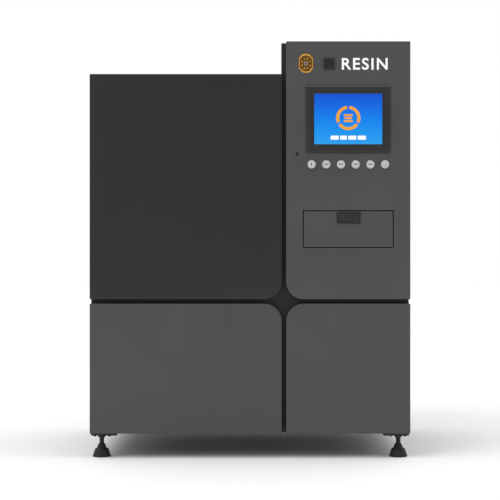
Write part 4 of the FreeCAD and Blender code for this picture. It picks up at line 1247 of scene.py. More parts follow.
def make_rear(panels, dark):
    """The two rear panels with rows of slots, the right one with its window for the service pan. A dark sheet near
    the floor of each blind slot paints the shade of the opening into the cabinet.
    """
    shell = Shell()
    plane = box_of("rear_panels")[1][1] - 0.0031
    deep = 0.0149
    origin = (0, plane, 0)
    left = (-0.164, 0.705, 0.110, 1.700)
    right = (-0.705, -0.165, 0.110, 1.845)
    window = ((-0.580, -0.420, 0.240, 0.460), 0.003, 0.0008)
    slots = [slot_bank(centre, panels) for centre in ((0.27, 0.42), (0.27, 1.36), (-0.435, 1.42), (-0.435, 0.80))]
    panel(shell, "rear", origin, left, 0.004, deep, panels.edge, pockets=slots[0] + slots[1])
    panel(shell, "rear", origin, right, 0.004, deep, panels.edge, [window], slots[2] + slots[3])
    shell.piece("rear_panel_skins", "cabinet", LOOK["body"], ("rear_panels",))
    # painted shade: dark sheets at the slot floors stand in for the shade behind through slots
    for spot, radius, _, floor in sum(slots, []):
        sheet = (0, plane - floor + 0.0006, 0)
        panel(dark, "rear", sheet, shrunk(spot, 0.001), radius - 0.001, 0.001, 0.0002, steps=4)
    screws = Shell()
    for x in (-0.692, -0.42, -0.178, 0.178, 0.44, 0.692):
        for z in (0.13, 0.66, 1.18, 1.68):
            button_head(screws, (x, plane, z), "rear", 0.0065, 0.0030)
    for x in (0.178, 0.44, 0.692):
        button_head(screws, (x, plane, 1.827), "rear", 0.0065, 0.0030)
    screws.piece("rear_screws", "cabinet", LOOK["oxide"])


def make_roofs(panels):
    """The chamber's and the tower's roofs and the partition between them."""
    shell = Shell()
    port = (about(*EXHAUST, 0.048), 0.048, 0.001)
    for name, holes, steps in (("chamber_roof", [port], 10), ("tower_roof", [], 6)):
        low, high = box_of(name)
        area = area_of(name, "top")
        panel(shell, "top", (0, 0, high[2]), area, 0.003, high[2] - low[2], panels.edge, holes, steps=steps)
    shell.piece("roof_skins", "cabinet", LOOK["body"], ("chamber_roof", "tower_roof"))
    wall = Shell()
    low, high = box_of("partition_wall")
    panel(wall, "left", (low[0], 0, 0), area_of("partition_wall", "left"), 0.003, high[0] - low[0], panels.edge)
    wall.piece("partition_skin", "cabinet", LOOK["body"], ("partition_wall",))


class MakePanels(bpy.types.Operator):
    """Makes the folded side, rear, roof and partition panels with louvres and screws"""

    bl_idname = "resin_printer.panels"
    bl_label = "Outer panels"

    def execute(self, context):
        panels = context.scene.resin_printer.panels
        dark = Shell()
        for side, node_name in ((-1, "left_side_panel"), (1, "right_side_panel")):
            low, high = box_of(node_name)
            face = "left" if side < 0 else "right"
            plane = low[0] if side < 0 else high[0]
            make_side_panel(node_name, face, plane, low, high, panels, dark)
        make_rear(panels, dark)
        make_roofs(panels)
        # painted shade: dark sheets under the louvres and inside the rear slots, standing in for the shade of their
        # openings
        dark.piece("louvre_slot_shade", "cabinet", LOOK["rubber"])
        return {"FINISHED"}


def make_exhaust():
    """Exhaust: a square flange with a filleted, beaded spigot turned from a profile, and a guard of rings."""
    x, y, _ = middle_of("exhaust_fan_housing")
    z = box_of("exhaust_fan_housing")[0][2]
    shell = Shell()
    area = area_of("exhaust_fan_housing", "top")
    bore = (about(x, y, 0.047), 0.047, 0.0005)
    panel(shell, "top", (0, 0, z + 0.008), area, 0.012, 0.0079, 0.0015, [bore], steps=12)
    t = np.linspace(0, math.pi / 2, 6)
    foot = np.column_stack([0.0545 - 0.0045 * np.sin(t), 0.0125 - 0.0045 * np.cos(t)])
    bead = [(0.0500, 0.040), (0.0500, 0.0425), (0.0500, 0.045)]
    lip = [(0.0500, 0.0588), (0.0494, 0.0598), (0.0484, 0.0600), (0.0474, 0.0596), (0.0470, 0.0588), (0.0470, 0.0)]
    lathe(shell, [(0.0470, 0.0), (0.0545, 0.0), *foot, *bead, *lip], (x, y, z), segments=72)
    for across, along in ((0.048, 0.003), (0.003, 0.048)):
        block(shell, (x - across, y - along, z + 0.0002), (x + across, y + along, z + 0.006), 0.0008, 0.001)
    motor = [(0, 0.0002), (0.016, 0.0002), (0.016, 0.015), (0.015, 0.016), (0.0032, 0.016)]
    motor += [(0.0032, 0.006), (0, 0.006)]
    lathe(shell, motor, (x, y, z))
    shell.piece("exhaust_housing", "cabinet", LOOK["aluminium"], ("exhaust_fan_housing",))
    guard = Shell()
    for r in (0.012, 0.021, 0.030, 0.039):
        t = np.linspace(0, 2 * math.pi, 9)
        circle = np.column_stack([r + 0.0009 * np.cos(t), 0.0565 + 0.0009 * np.sin(t)])
        lathe(guard, circle, (x, y, z), segments=56)
    for k in range(3):
        spoke = Shell()
        profile = [(0, 0), (0.0009, 0), (0.0009, 0.0464), (0, 0.0464)]
        lathe(spoke, profile, (x + 0.0004, y, z + 0.0565), "right", 10)
        guard.join(spoke.turned((x, y, z), (0, 0, 1), math.radians(90 + 120 * k)))
    guard.piece("exhaust_guard", "cabinet", LOOK["zinc"])
    screws = Shell()
    for sx in (-1, 1):
        for sy in (-1, 1):
            button_head(screws, (x + sx * 0.066, y + sy * 0.066, z + 0.008), "top", 0.005, 0.0026)
    screws.piece("exhaust_screws", "cabinet", LOOK["oxide"])


def make_rotor():
    """Rotor: a domed hub and seven twisted blades; each blade's pitch falls from 52 to 28 degrees outwards."""
    x, y, z = *EXHAUST, 1.717
    shell = Shell()
    hub = [(0, 0), (0.0145, 0), (0.015, 0.0006), (0.015, 0.019), (0.0138, 0.021), (0.0105, 0.022), (0, 0.022)]
    lathe(shell, hub, (x, y, z), segments=40)
    lathe(shell, [(0, 0), (0.003, 0), (0.003, 0.0102), (0, 0.0102)], (x, y, z - 0.010), segments=16)
    s = np.array([0, *np.linspace(0, 1, 9), 1])
    t = np.linspace(0, 2 * math.pi, 20, endpoint=False)
    ss, tt = np.meshgrid(s, t, indexing="ij")
    full = np.array([0] + [1] * 9 + [0])[:, None]
    pitch = np.radians(52 - 24 * ss)
    chord = (0.0085 + 0.0045 * ss) * full * np.cos(tt)
    thick = 0.0007 * full * np.sin(tt)
    along = chord * np.cos(pitch) - thick * np.sin(pitch)
    up = chord * np.sin(pitch) * 0.86 + thick * np.cos(pitch) + 0.0105
    points = np.stack([0.0142 + 0.0288 * ss, along, up], -1)
    blade = Shell().add(points, grid_faces(11, 20, flip=True))
    for k in range(7):
        shell.join(blade.turned((0, 0, 0), (0, 0, 1), 2 * math.pi / 7 * k), (x, y, z))
    shell.piece("exhaust_impeller", "exhaust_rotor", LOOK["black_plastic"], ("exhaust_rotor",))


def make_pan():
    """Service pan: a folded tray, a turned inlet shroud with its pins and lid, and the isolator's yellow plate."""
    area = area_of("power_inlet", "rear")
    tray = Shell()
    rear_y = box_of("power_inlet")[1][1]
    hollow = (shrunk(area, 0.0025), 0.004, 0.0006, 0.047)
    panel(tray, "rear", (0, rear_y - 0.0012, 0), area, 0.004, 0.0488, 0.0006, pockets=[hollow])
    tray.piece("service_pan", "cabinet", LOOK["frame"], ("power_inlet",))
    x, z, y = 0.500, 0.300, 0.533
    inlet = Shell()
    shroud = [(0, 0), (0.0400, 0), (0.0400, 0.004), (0.0360, 0.0052), (0.0360, 0.0272), (0.0352, 0.028)]
    shroud += [(0.0318, 0.028), (0.0310, 0.0272), (0.0310, 0.008), (0, 0.008)]
    lathe(inlet, shroud, (x, y, z), "rear", 64)
    block(inlet, (x - 0.010, y, z + 0.036), (x + 0.010, y + 0.020, z + 0.046), 0.001, 0.003, "rear")
    inlet.piece("power_inlet_shroud", "cabinet", LOOK["red"])
    pins = Shell()
    for k in range(5):
        t = math.radians(90 + 72 * k)
        centre = (x + 0.018 * math.cos(t), y + 0.008, z + 0.018 * math.sin(t))
        lathe(pins, [(0, 0), (0.004, 0), (0.004, 0.0125), (0.0032, 0.0138), (0, 0.014)], centre, "rear", 20)
    pins.piece("power_inlet_pins", "cabinet", LOOK["zinc"])
    plate = Shell()
    z = ISOLATOR[1]
    hole = (about(-x, z, 0.0081), 0.0081, 0.0004)
    panel(plate, "rear", (0, 0.545, 0), about(-x, z, 0.034), 0.006, 0.0119, 0.0012, [hole], steps=8)
    plate.piece("isolator_plate", "cabinet", LOOK["yellow"])


def make_knob():
    """Isolator knob: a turned disc with a grip bar whose flanks are drawn in, width times 1 - 0.25 sin(pi s)."""
    x, z = ISOLATOR
    shell = Shell()
    disc = [(0, 0), (0.0262, 0), (0.027, 0.0008), (0.027, 0.0064), (0.0262, 0.0076), (0.0245, 0.008), (0, 0.008)]
    lathe(shell, disc, (x, 0.5452, z), "rear", 56)
    lathe(shell, [(0, 0), (0.008, 0), (0.008, 0.0062), (0, 0.0062)], (x, 0.540, z), "rear", 24)
    s = np.linspace(0, 1, 17)
    half = 0.007 * (1 - 0.25 * np.sin(math.pi * s))
    up = 0.025 * (2 * s - 1)
    outline = np.vstack([np.column_stack([half, up]), np.column_stack([-half, up])[::-1]])
    steps = [(1.0, 0.008), (1.0, 0.0214), (0.94, 0.0226), (0.86, 0.0228)]
    rows = levels(outline, [(np.array([k, 0.5 + k / 2]), height) for k, height in steps])
    origin = (x, 0.5452, z)
    skin(shell, "rear", origin, rows, flip=True)
    cap(shell, "rear", origin, [rows[-1][:, :2]], -0.0228)
    cap(shell, "rear", origin, [rows[0][:, :2]], -0.008, True)
    shell.piece("isolator_grip", "isolator_knob", LOOK["red"], ("isolator_knob",))


class MakeServices(bpy.types.Operator):
    """Makes the exhaust on the roof and the service pan with its inlet and isolator at the rear"""

    bl_idname = "resin_printer.services"
    bl_label = "Exhaust and power inlet"

    def execute(self, context):
        make_exhaust()
        make_rotor()
        make_pan()
        make_knob()
        return {"FINISHED"}


def thread(shell, centre, radius, length, pitch, depth, face="top", sides=24, per_turn=4):
    """A threaded rod: rings whose radius is r - depth (0.5 - 0.5 cos(2 pi z / pitch - angle)), a helical wave."""
    rows = max(int(length / pitch * per_turn), 2) + 1
    z = np.linspace(0, length, rows)
    t = np.linspace(0, 2 * math.pi, sides, endpoint=False)
    wave = 0.5 - 0.5 * np.cos(2 * math.pi * z[:, None] / pitch - t[None, :])
    r = radius - depth * wave
    points = np.stack([r * np.cos(t), r * np.sin(t), np.broadcast_to(-z[:, None], r.shape)], -1)
    skin(shell, face, centre, points, flip=True)
    cap(shell, face, centre, [points[-1][:, :2]], -length)
    cap(shell, face, centre, [points[0][:, :2]], 0.0, True)


def make_mount(mounts, bolts, x, y, side):
    """A rounded plate with its bore, a tapered boss turned under it and four six-sided bolt heads."""
    r = 0.0107
    x_in, x_out = sorted((side * 0.595, side * 0.710))
    hole = (about(x, -y, r), r, 0.0003)
    middle = math.copysign(0.480, y)
    area = (x_in, x_out, -middle - 0.040, -middle + 0.040)
    panel(mounts, "bottom", (0, 0, 0.095), area, 0.008, 0.0149, 0.0012, [hole], steps=8)
    boss = [(r, 0.0), (0.0118, 0.0), (0.0128, 0.0010), (0.0197, 0.0098), (0.0200, 0.0112), (r, 0.0112), (r, 0.0)]
    lathe(mounts, boss, (x, y, 0.084), segments=48)
    for dx in (-0.035, 0.030):
        for dy in (-0.025, 0.025):
            hex_prism(bolts, (x + dx * side, middle + dy, 0.0950), 0.0110, 0.0045, "bottom")


class MakeFeet(bpy.types.Operator):
    """Makes the four levelling feet with turned pads, threaded stems and bolted plates"""

    bl_idname = "resin_printer.feet"
    bl_label = "Levelling feet"

    def execute(self, context):
        mounts = Shell()
        bolts = Shell()
        for number in range(1, 5):
            name = f"foot_{number}"
            x, y, _ = middle_of(name)
            side = math.copysign(1, x)
            pad = Shell()
            profile = [(0, 0), (0.0388, 0), (0.0400, 0.0010), (0.0400, 0.0060), (0.0392, 0.0080), (0.0352, 0.0180)]
            profile += [(0.0322, 0.0285), (0.0302, 0.0350), (0.0285, 0.0370), (0.0205, 0.0372), (0.0198, 0.0380)]
            profile += [(0.0198, 0.0470), (0.0185, 0.0482), (0.0160, 0.0540), (0.0132, 0.0590), (0.0104, 0.0594)]
            profile.append((0, 0.0594))
            lathe(pad, profile, (x, y, 0), segments=64)
            pad.piece(name + "_pad", name, LOOK["foot"], (name,))
            stem = Shell()
            thread(stem, (x, y, 0.058), 0.0105, 0.088, 0.0025, 0.0006, sides=28, per_turn=6)
            stem.piece(name + "_stem", name, LOOK["frame"])
            make_mount(mounts, bolts, x, y, side)
        mounts.piece("foot_plates", "cabinet", LOOK["frame"], ("foot_mounts",))
        bolts.piece("foot_bolts", "cabinet", LOOK["oxide"])
        return {"FINISHED"}


# ---- chamber, optics and electrics ----


def make_vat():
    """Vat: rings carried round a rounded rectangle, down the outside, over the rolled flange and down inside."""
    low, high = box_of("resin_vat")
    area = area_of("resin_vat", "top")
    plane = (0, 0, high[2])
    inset, deep = 0.016, high[2] - low[2]
    inside = 0.0218
    rows = [(inset, deep), (inset, 0.0092), (0.0008, 0.0088), (0.0, 0.0080), (0.0, 0.0012), (0.0012, 0.0)]
    rows += [(inside - 0.002, 0.0), (inside - 0.0004, 0.0008), (inside, 0.003), (inside, deep - 0.012)]
    rows += [(inside + 0.002, deep - 0.007), (inside + 0.007, deep - 0.006)]
    shell = Shell()
    loops = stack(area, 0.030, rows[::-1], 8)
    skin(shell, "top", plane, loops)
    cap(shell, "top", plane, [loops[0][:, :2]], deep - 0.006)
    cap(shell, "top", plane, [loops[-1][:, :2]], deep, True)
    shell.piece("vat_shell", "cabinet", LOOK["stainless"], ("resin_vat",))


def make_platform():
    """Platform: a ground plate with eleven by ten countersunk holes."""
    low, high = box_of("build_platform")
    cx, pitch, r, holes = (low[0] + high[0]) / 2, 0.050, 0.006, []
    for i in range(11):
        for j in range(10):
            holes.append((about(cx + (i - 5) * pitch, low[1] + (j + 0.5) * pitch, r), r, 0.0012))
    shell = Shell()
    area = area_of("build_platform", "top")
    panel(shell, "top", (0, 0, high[2]), area, 0.006, high[2] - low[2], 0.0012, holes, steps=5)
    shell.piece("platform_plate", "lift", LOOK["aluminium"], ("build_platform",))


def make_recoater():
    """Recoater: a rounded beam, a hollow-ground blade, two shoes on the rails and a flanged nut."""
    low, high = box_of("recoater_carriage")
    y = (low[1] + high[1]) / 2
    beam = Shell()
    block(beam, (low[0], y - 0.018, 0.862), (0.104, y + 0.018, 0.892), 0.0015, 0.004, "top")
    for x in RECOAT_RAILS:
        for a, b in ((x - 0.022, x - 0.0105), (x + 0.0105, x + 0.022)):
            block(beam, (a, low[1], 0.812), (b, high[1], 0.864), 0.001, 0.002, "top")
        block(beam, (x - 0.0115, low[1], 0.8305), (x + 0.0115, high[1], 0.864), 0.001, 0.002, "top")
    nut = [(0.0081, 0), (0.0155, 0), (0.016, 0.0006), (0.016, 0.0494), (0.0155, 0.05), (0.0081, 0.05), (0.0081, 0)]
    lathe(beam, nut, (RECOAT_SCREW[0], y + 0.025, RECOAT_SCREW[1]), "front", 48)
    beam.piece("recoater_beam", "recoater", LOOK["aluminium"], ("recoater_carriage",))
    t = np.linspace(0, 1, 9)
    flank = np.column_stack([0.010 - 0.0072 * np.sin(t * math.pi / 2), 0.815 - 0.014 * t])
    side = np.vstack([[(0.010, 0.862)], flank])
    outline = np.vstack([side, (side * (-1, 1))[::-1]])
    rows = [np.column_stack([y + outline[:, 0], outline[:, 1], np.full(len(outline), -x)]) for x in (-0.575, 0.015)]
    blade = Shell()
    skin(blade, "right", (0, 0, 0), rows, flip=True)
    cap(blade, "right", (0, 0, 0), [rows[0][:, :2]], 0.575, True)
    cap(blade, "right", (0, 0, 0), [rows[1][:, :2]], -0.015)
    blade.piece("recoater_blade", "recoater", LOOK["ground"])
    screw = Shell()
    thread(screw, (RECOAT_SCREW[0], 0.292, RECOAT_SCREW[1]), 0.008, 0.732, 0.020, 0.0010, "front", 24, 12)
    screw.piece("recoater_thread", "recoater_screw", LOOK["ground"], ("recoater_screw",))


class MakeChamber(bpy.types.Operator):
    """Makes the deck, the vat, the perforated platform and the recoater with its screw"""

    bl_idname = "resin_printer.chamber"
    bl_label = "Build chamber"

    def execute(self, context):
        make_vat()
        make_platform()
        make_recoater()
        dress(LOOK["stainless"], "chamber_deck")
        return {"FINISHED"}


def make_rail(shell, x, face, thick, long):
    """A guide rail: a waisted section carried along its length, with a counterbored screw hole at intervals."""
    half, deep = 0.010, thick[1] - thick[0]
    waist = [(1.0, 0.0008), (0.94, 0.0), (-0.94, 0.0), (-1.0, 0.0008), (-1.0, 0.30), (-0.80, 0.40), (-0.80, 0.60)]
    waist += [(-1.0, 0.70), (-1.0, 1.0), (1.0, 1.0), (1.0, 0.70), (0.80, 0.60), (0.80, 0.40), (1.0, 0.30)]
    outline = np.array([(u * half, w * deep if w > 0.01 else w) for u, w in waist])
    rows = [np.column_stack([x + outline[:, 0], np.full(14, v), outline[:, 1]]) for v in long]
    plane = (0, thick[0], 0) if face == "front" else (0, 0, thick[1])
    skin(shell, face, plane, rows, False, flip=True)
    for row, order in ((rows[0], 1), (rows[1], -1)):
        flat = [Vector((u, w, 0)) for u, w in row[:, [0, 2]]]
        tris = np.array(tessellate_polygon([flat]))
        a, b, c = row[tris[:, 0]], row[tris[:, 1]], row[tris[:, 2]]
        wrong = np.cross(b - a, c - a)[:, 1] * order > 0
        tris[wrong] = tris[wrong][:, ::-1]
        shell.add(place(row, face, plane), tris, False)
    step = 0.060
    plug = [(0.0054, -0.001), (0.0054, 0.0), (0.0052, 0.0004), (0.0030, 0.0004), (0.0028, 0.0001), (0, 0.0001)]
    for v in np.arange(long[0] + step / 2, long[1], step):
        centre = (x, plane[1], v) if face == "front" else (x, v, plane[2])
        lathe(shell, plug, centre, face, 20)


def make_carriage():
    """Bridge with a lightening pocket and screws, four rail blocks, the nut and the two arms."""
    shell = Shell()
    area = (-0.520, -0.040, 1.250, 1.400)
    pockets = [((x0, x1, 1.272, 1.378), 0.012, 0.0015, 0.008) for x0, x1 in ((-0.500, -0.310), (-0.250, -0.060))]
    panel(shell, "front", (0, 0.243, 0), area, 0.006, 0.042, 0.0015, pockets=pockets)
    for x in ARMS:
        block(shell, (x - 0.015, 0.225, 0.787), (x + 0.015, 0.2435, 1.390), 0.0012, 0.003)
        block(shell, (x - 0.015, 0.120, 0.775), (x + 0.015, 0.243, 0.787), 0.0012, 0.003, "top")
        block(shell, (x - 0.004, 0.216, 0.787), (x + 0.004, 0.226, 0.860), 0.0008, 0.002)
    shell.piece("lift_bridge", "lift", LOOK["aluminium"], ("z_carriage",))
    blocks = Shell()
    for x in LIFT_RAILS:
        for z in (1.262, 1.338):
            for a, b in ((x - 0.024, x - 0.0105), (x + 0.0105, x + 0.024)):
                block(blocks, (a, 0.285, z), (b, 0.315, z + 0.050), 0.001, 0.002)
            block(blocks, (x - 0.0115, 0.285, z), (x + 0.0115, 0.2995, z + 0.050), 0.001, 0.002)
    nut = [(0.0102, 0), (0.0172, 0), (0.018, 0.0008), (0.018, 0.0692), (0.0172, 0.070), (0.0102, 0.070), (0.0102, 0)]
    lathe(blocks, nut, (*LIFT_SCREW, 1.290), segments=48)
    block(blocks, (-0.298, 0.284, 1.2905), (-0.262, 0.2895, 1.3595), 0.0008, 0.002)
    blocks.piece("lift_bearings", "lift", LOOK["ground"])
    screws = Shell()
    for x in ARMS:
        for z in (1.272, 1.312, 1.352, 1.380):
            button_head(screws, (x, 0.225, z), "front", 0.0050, 0.0028)
    for x in (-0.402, -0.358, -0.202, -0.158):
        for z in (1.262, 1.388):
            button_head(screws, (x, 0.243, z), "front", 0.0035, 0.0020)
    screws.piece("lift_screws", "lift", LOOK["oxide"])


def make_column():
    """Column: a machined plate with rounded edges on a box spine, and two bored bearing blocks."""
    shell = Shell()
    panel(shell, "front", (0, 0.320, 0), (-0.430, -0.130, 0.800, 1.478), 0.003, 0.025, 0.0015)
    panel(shell, "front", (0, 0.345, 0), (-0.400, -0.160, 0.800, 1.478), 0.004, 0.085, 0.0015)
    r = 0.0103
    hole = (about(*LIFT_SCREW, r), r, 0.0005)
    for z in (0.846, 1.428):
        panel(shell, "top", (0, 0, z), (-0.310, -0.250, 0.272, 0.3205), 0.004, 0.024, 0.0012, [hole], steps=8)
    shell.piece("lift_column", "cabinet", LOOK["aluminium"], ("z_column",))


class MakeLift(bpy.types.Operator):
    """Makes the lift: bridge, arms, rail blocks and nut, the column, the rails and the ball screw"""

    bl_idname = "resin_printer.lift"
    bl_label = "Lift"

    def execute(self, context):
        make_carriage()
        make_column()
        screw = Shell()
        thread(screw, (*LIFT_SCREW, 0.824), 0.010, 0.614, 0.010, 0.0013, sides=28, per_turn=14)
        screw.piece("lift_screw", "z_screw", LOOK["ground"], ("z_screw",))
        rails = Shell()
        for x in LIFT_RAILS:
            make_rail(rails, x, "front", (0.300, 0.320), (0.850, 1.402))
        for x in RECOAT_RAILS:
            make_rail(rails, x, "top", (0.806, 0.830), (-0.450, 0.270))
        rails.piece("guide_rails", "cabinet", LOOK["ground"], ("linear_rails",))
        return {"FINISHED"}


class MakeOptics(bpy.types.Operator):
    """Makes the laser, the scan head, the scan window, the mirrors and the chamber lamps"""

    bl_idname = "resin_printer.optics"
    bl_label = "Laser and scan head"

    def execute(self, context):
        dress(LOOK["aluminium"], "optics_plate")
        dress(LOOK["mirror"], "galvo_mirror_x", "galvo_mirror_y")
        window = Shell()
        x, y, _ = middle_of("scan_window")
        floor = box_of("scan_window")[0][2]
        disc = [(0, 0), (0.0894, 0), (0.09, 0.0006), (0.09, 0.0034), (0.0894, 0.004), (0, 0.004)]
        lathe(window, disc, (x, y, floor), segments=96)
        window.piece("scan_window_disc", "cabinet", LOOK["scan_glass"], ("scan_window",))
        head = Shell()
        z = floor + 0.004
        for a, b, c, d in ((-0.075, -0.065, -0.075, 0.075), (0.065, 0.075, -0.075, 0.075)):
            block(head, (x + a, y + c, z), (x + b, y + d, z + 0.132), 0.001, 0.002, "top")
        for a, b in ((-0.075, -0.065), (0.065, 0.075)):
            block(head, (x - 0.066, y + a, z), (x + 0.066, y + b, z + 0.132), 0.001, 0.002, "top")
        block(head, (x - 0.075, y - 0.075, z + 0.130), (x + 0.075, y + 0.075, z + 0.140), 0.0015, 0.004, "top")
        body = [(0, 0), (0.0132, 0), (0.014, 0.0008), (0.014, 0.0942), (0.0132, 0.095), (0, 0.095)]
        lathe(head, body, (-0.300, y + 0.040, BEAM_Z), "rear", 32)
        lathe(head, body, (x + 0.040, -0.060, 1.540), "right", 32)
        head.piece("scan_head", "cabinet", LOOK["dark_alu"], ("galvo_head",))
        laser = Shell()
        block(laser, (-0.660, y - 0.060, z), (-0.440, y + 0.060, z + 0.104), 0.002, 0.005, "top")
        for i in range(15):
            fin = -0.652 + i * 0.0145
            block(laser, (fin, y - 0.056, z + 0.103), (fin + 0.0055, y + 0.056, z + 0.130), 0.0008, 0.002, "top")
        tube = [(0.010, 0), (0.0194, 0), (0.020, 0.0006), (0.020, 0.0844), (0.0194, 0.085), (0.010, 0.085)]
        lathe(laser, [*tube, tube[0]], (-0.440, y, BEAM_Z), "right", 40)
        block(laser, (-0.430, y - 0.030, z), (-0.390, y + 0.030, z + 0.012), 0.001, 0.003, "top")
        block(laser, (-0.420, y - 0.012, z + 0.011), (-0.400, y + 0.012, 1.567), 0.001, 0.003, "top")
        laser.piece("laser_unit", "cabinet", LOOK["dark_alu"], ("laser_head",))
        lamps = Shell()
        lights = Shell()
        block(lamps, (-0.600, -0.470, 1.452), (0.060, -0.446, 1.480), 0.0012, 0.003, "bottom")
        block(lights, (-0.590, -0.466, 1.446), (0.050, -0.450, 1.453), 0.002, 0.005, "bottom")
        block(lamps, (-0.687, -0.300, 1.452), (-0.663, 0.300, 1.480), 0.0012, 0.003, "bottom")
        block(lights, (-0.683, -0.290, 1.446), (-0.667, 0.290, 1.453), 0.002, 0.005, "bottom")
        lamps.piece("lamp_channels", "cabinet", LOOK["aluminium"], ("chamber_lamps",))
        lights.piece("lamp_diffusers", "cabinet", LOOK["lamp"])
        return {"FINISHED"}


def make_plate():
    """A zinc-plated plate with two angles, and ducts whose lids rest on rows of fingers."""
    plate = Shell()
    x0, x1 = 0.183, 0.687
    block(plate, (x0 + 0.020, 0.380, 0.760), (x1 - 0.020, 0.384, 1.760), 0.0008, 0.003)
    for a, b in ((x0, x0 + 0.022), (x1 - 0.022, x1)):
        block(plate, (a, 0.3842, 0.760), (b, 0.400, 1.760), 0.0008, 0.002)
    plate.piece("electrics_back_plate", "cabinet", LOOK["zinc"], ("electrics_plate",))
    ducts = Shell()
    for z in (1.060, 1.370):
        block(ducts, (x0 + 0.040, 0.330, z), (x1 - 0.040, 0.336, z + 0.040), 0.001, 0.003)
        for i in range(52):
            x = x0 + 0.041 + i * 0.0081
            block(ducts, (x, 0.335, z + 0.0015), (x + 0.0052, 0.3805, z + 0.0385), 0.0004, 0.0008)
    ducts.piece("cable_ducts", "cabinet", LOOK["grey_plastic"])


def make_drives():
    """Three drives with a display window, connectors and cooling slots, and a perforated supply."""
    cases = Shell()
    marks = Shell()
    for x in (0.240, 0.304, 0.368):
        spots = [((x + 0.012, x + 0.044, 1.296, 1.312), 0.002, 0.0005, 0.003)]
        spots += [((x + 0.008, x + 0.048, z, z + 0.024), 0.0015, 0.0005, 0.006) for z in (1.140, 1.172, 1.204)]
        case = (x, x + 0.056, 1.130, 1.330)
        panel(cases, "front", (0, 0.240, 0), case, 0.004, 0.140, 0.0015, pockets=spots, steps=4)
        for k in range(3):
            z = 1.140 + k * 0.032
            for j in range(4):
                a = x + 0.0095 + j * 0.0095
                block(marks, (a, 0.2415, z + 0.002), (a + 0.0085, 0.2470, z + 0.022), 0.0004, 0.001)
    cases.piece("drive_cases", "cabinet", LOOK["key"], ("servo_drives",))
    marks.piece("drive_terminals", "cabinet", LOOK["grey_plastic"])
    supply = Shell()
    slots = []
    for i in range(9):
        z = 1.150 + i * 0.0175
        slots.append(((0.484, 0.616, z, z + 0.007), 0.0034, 0.0005, 0.004))
    panel(supply, "front", (0, 0.260, 0), (0.470, 0.630, 1.130, 1.330), 0.003, 0.120, 0.0012, pockets=slots, steps=4)
    supply.piece("power_supply", "cabinet", LOOK["zinc"])


def make_computer():
    """Control computer: a rounded case with sixteen fins."""
    shell = Shell()
    block(shell, (0.250, 0.2195, 1.440), (0.480, 0.380, 1.700), 0.0015, 0.004)
    for x in range(258, 470, 14):
        block(shell, (x * MM, 0.200, 1.446), ((x + 5) * MM, 0.2205, 1.694), 0.0008, 0.0015)
    shell.piece("control_computer", "cabinet", LOOK["dark_alu"], ("industrial_pc",))


def make_motors():
    """Lift and recoater motors with rounded flanges and rear caps, and the bearing blocks of the screw."""
    shell = Shell()
    block(shell, (-0.310, 0.262, 1.438), (-0.250, 0.318, 1.477), 0.0015, 0.006, "top")
    block(shell, (0.087, 0.2925, 0.800), (0.143, 0.298, 0.870), 0.0008, 0.003)
    block(shell, (0.089, 0.2975, 0.800), (0.141, 0.380, 0.868), 0.0015, 0.006)
    block(shell, (0.095, 0.3795, 0.800), (0.135, 0.420, 0.862), 0.0015, 0.006)
    shell.piece("servo_motor_bodies", "cabinet", LOOK["oxide"], ("servo_motors",))
    r = 0.0083
    hole = (about(*RECOAT_SCREW, r), r, 0.0005)
    blocks = Shell()
    for y in (-0.440, 0.270):
        panel(blocks, "front", (0, y, 0), (0.095, 0.135, 0.800, 0.866), 0.004, 0.014, 0.0012, [hole], steps=8)
    blocks.piece("screw_bearing_blocks", "cabinet", LOOK["aluminium"])


def make_chiller():
    """Chiller: a case with sunk intake slots in front, a knurled filler cap and rubber feet."""
    slots = []
    for i in range(14):
        z = 0.290 + i * 0.018
        slots.append(((0.290, 0.580, z, z + 0.008), 0.0039, 0.0006, 0.006))
    shell = Shell()
    panel(shell, "front", (0, -0.300, 0), (0.235, 0.635, 0.183, 0.620), 0.008, 0.560, 0.003, pockets=slots, steps=5)
    shell.piece("chiller_case", "cabinet", LOOK["body"], ("chiller",))
    small = Shell()
    t = np.arange(72) * 2 * math.pi / 72
    r = 0.028 - 0.0007 * (np.arange(72) % 2)
    steps = [(0.0, 0.0), (1.0, 0.0), (1.0, 0.019), (0.95, 0.022), (0.0, 0.022)]
    knurl = np.column_stack([r * np.cos(t), r * np.sin(t)])
    skin(small, "top", (0.300, -0.200, 0.620), levels(knurl, steps), flip=True)
    foot = [(0, 0), (0.020, 0), (0.019, 0.0205), (0, 0.0205)]
    for x in (0.245, 0.585):
        for y in (-0.290, 0.210):
            lathe(small, foot, (x + 0.020, y + 0.020, 0.163), segments=24)
    small.piece("chiller_cap_and_feet", "cabinet", LOOK["rubber"])


class MakeElectrics(bpy.types.Operator):
    """Makes the mounting plate, the slotted cable ducts, the drives, the computer, the motors and the chiller"""

    bl_idname = "resin_printer.electrics"
    bl_label = "Electrics and chiller"

    def execute(self, context):
        make_plate()
        make_drives()
        make_computer()
        make_motors()
        make_chiller()
        return {"FINISHED"}


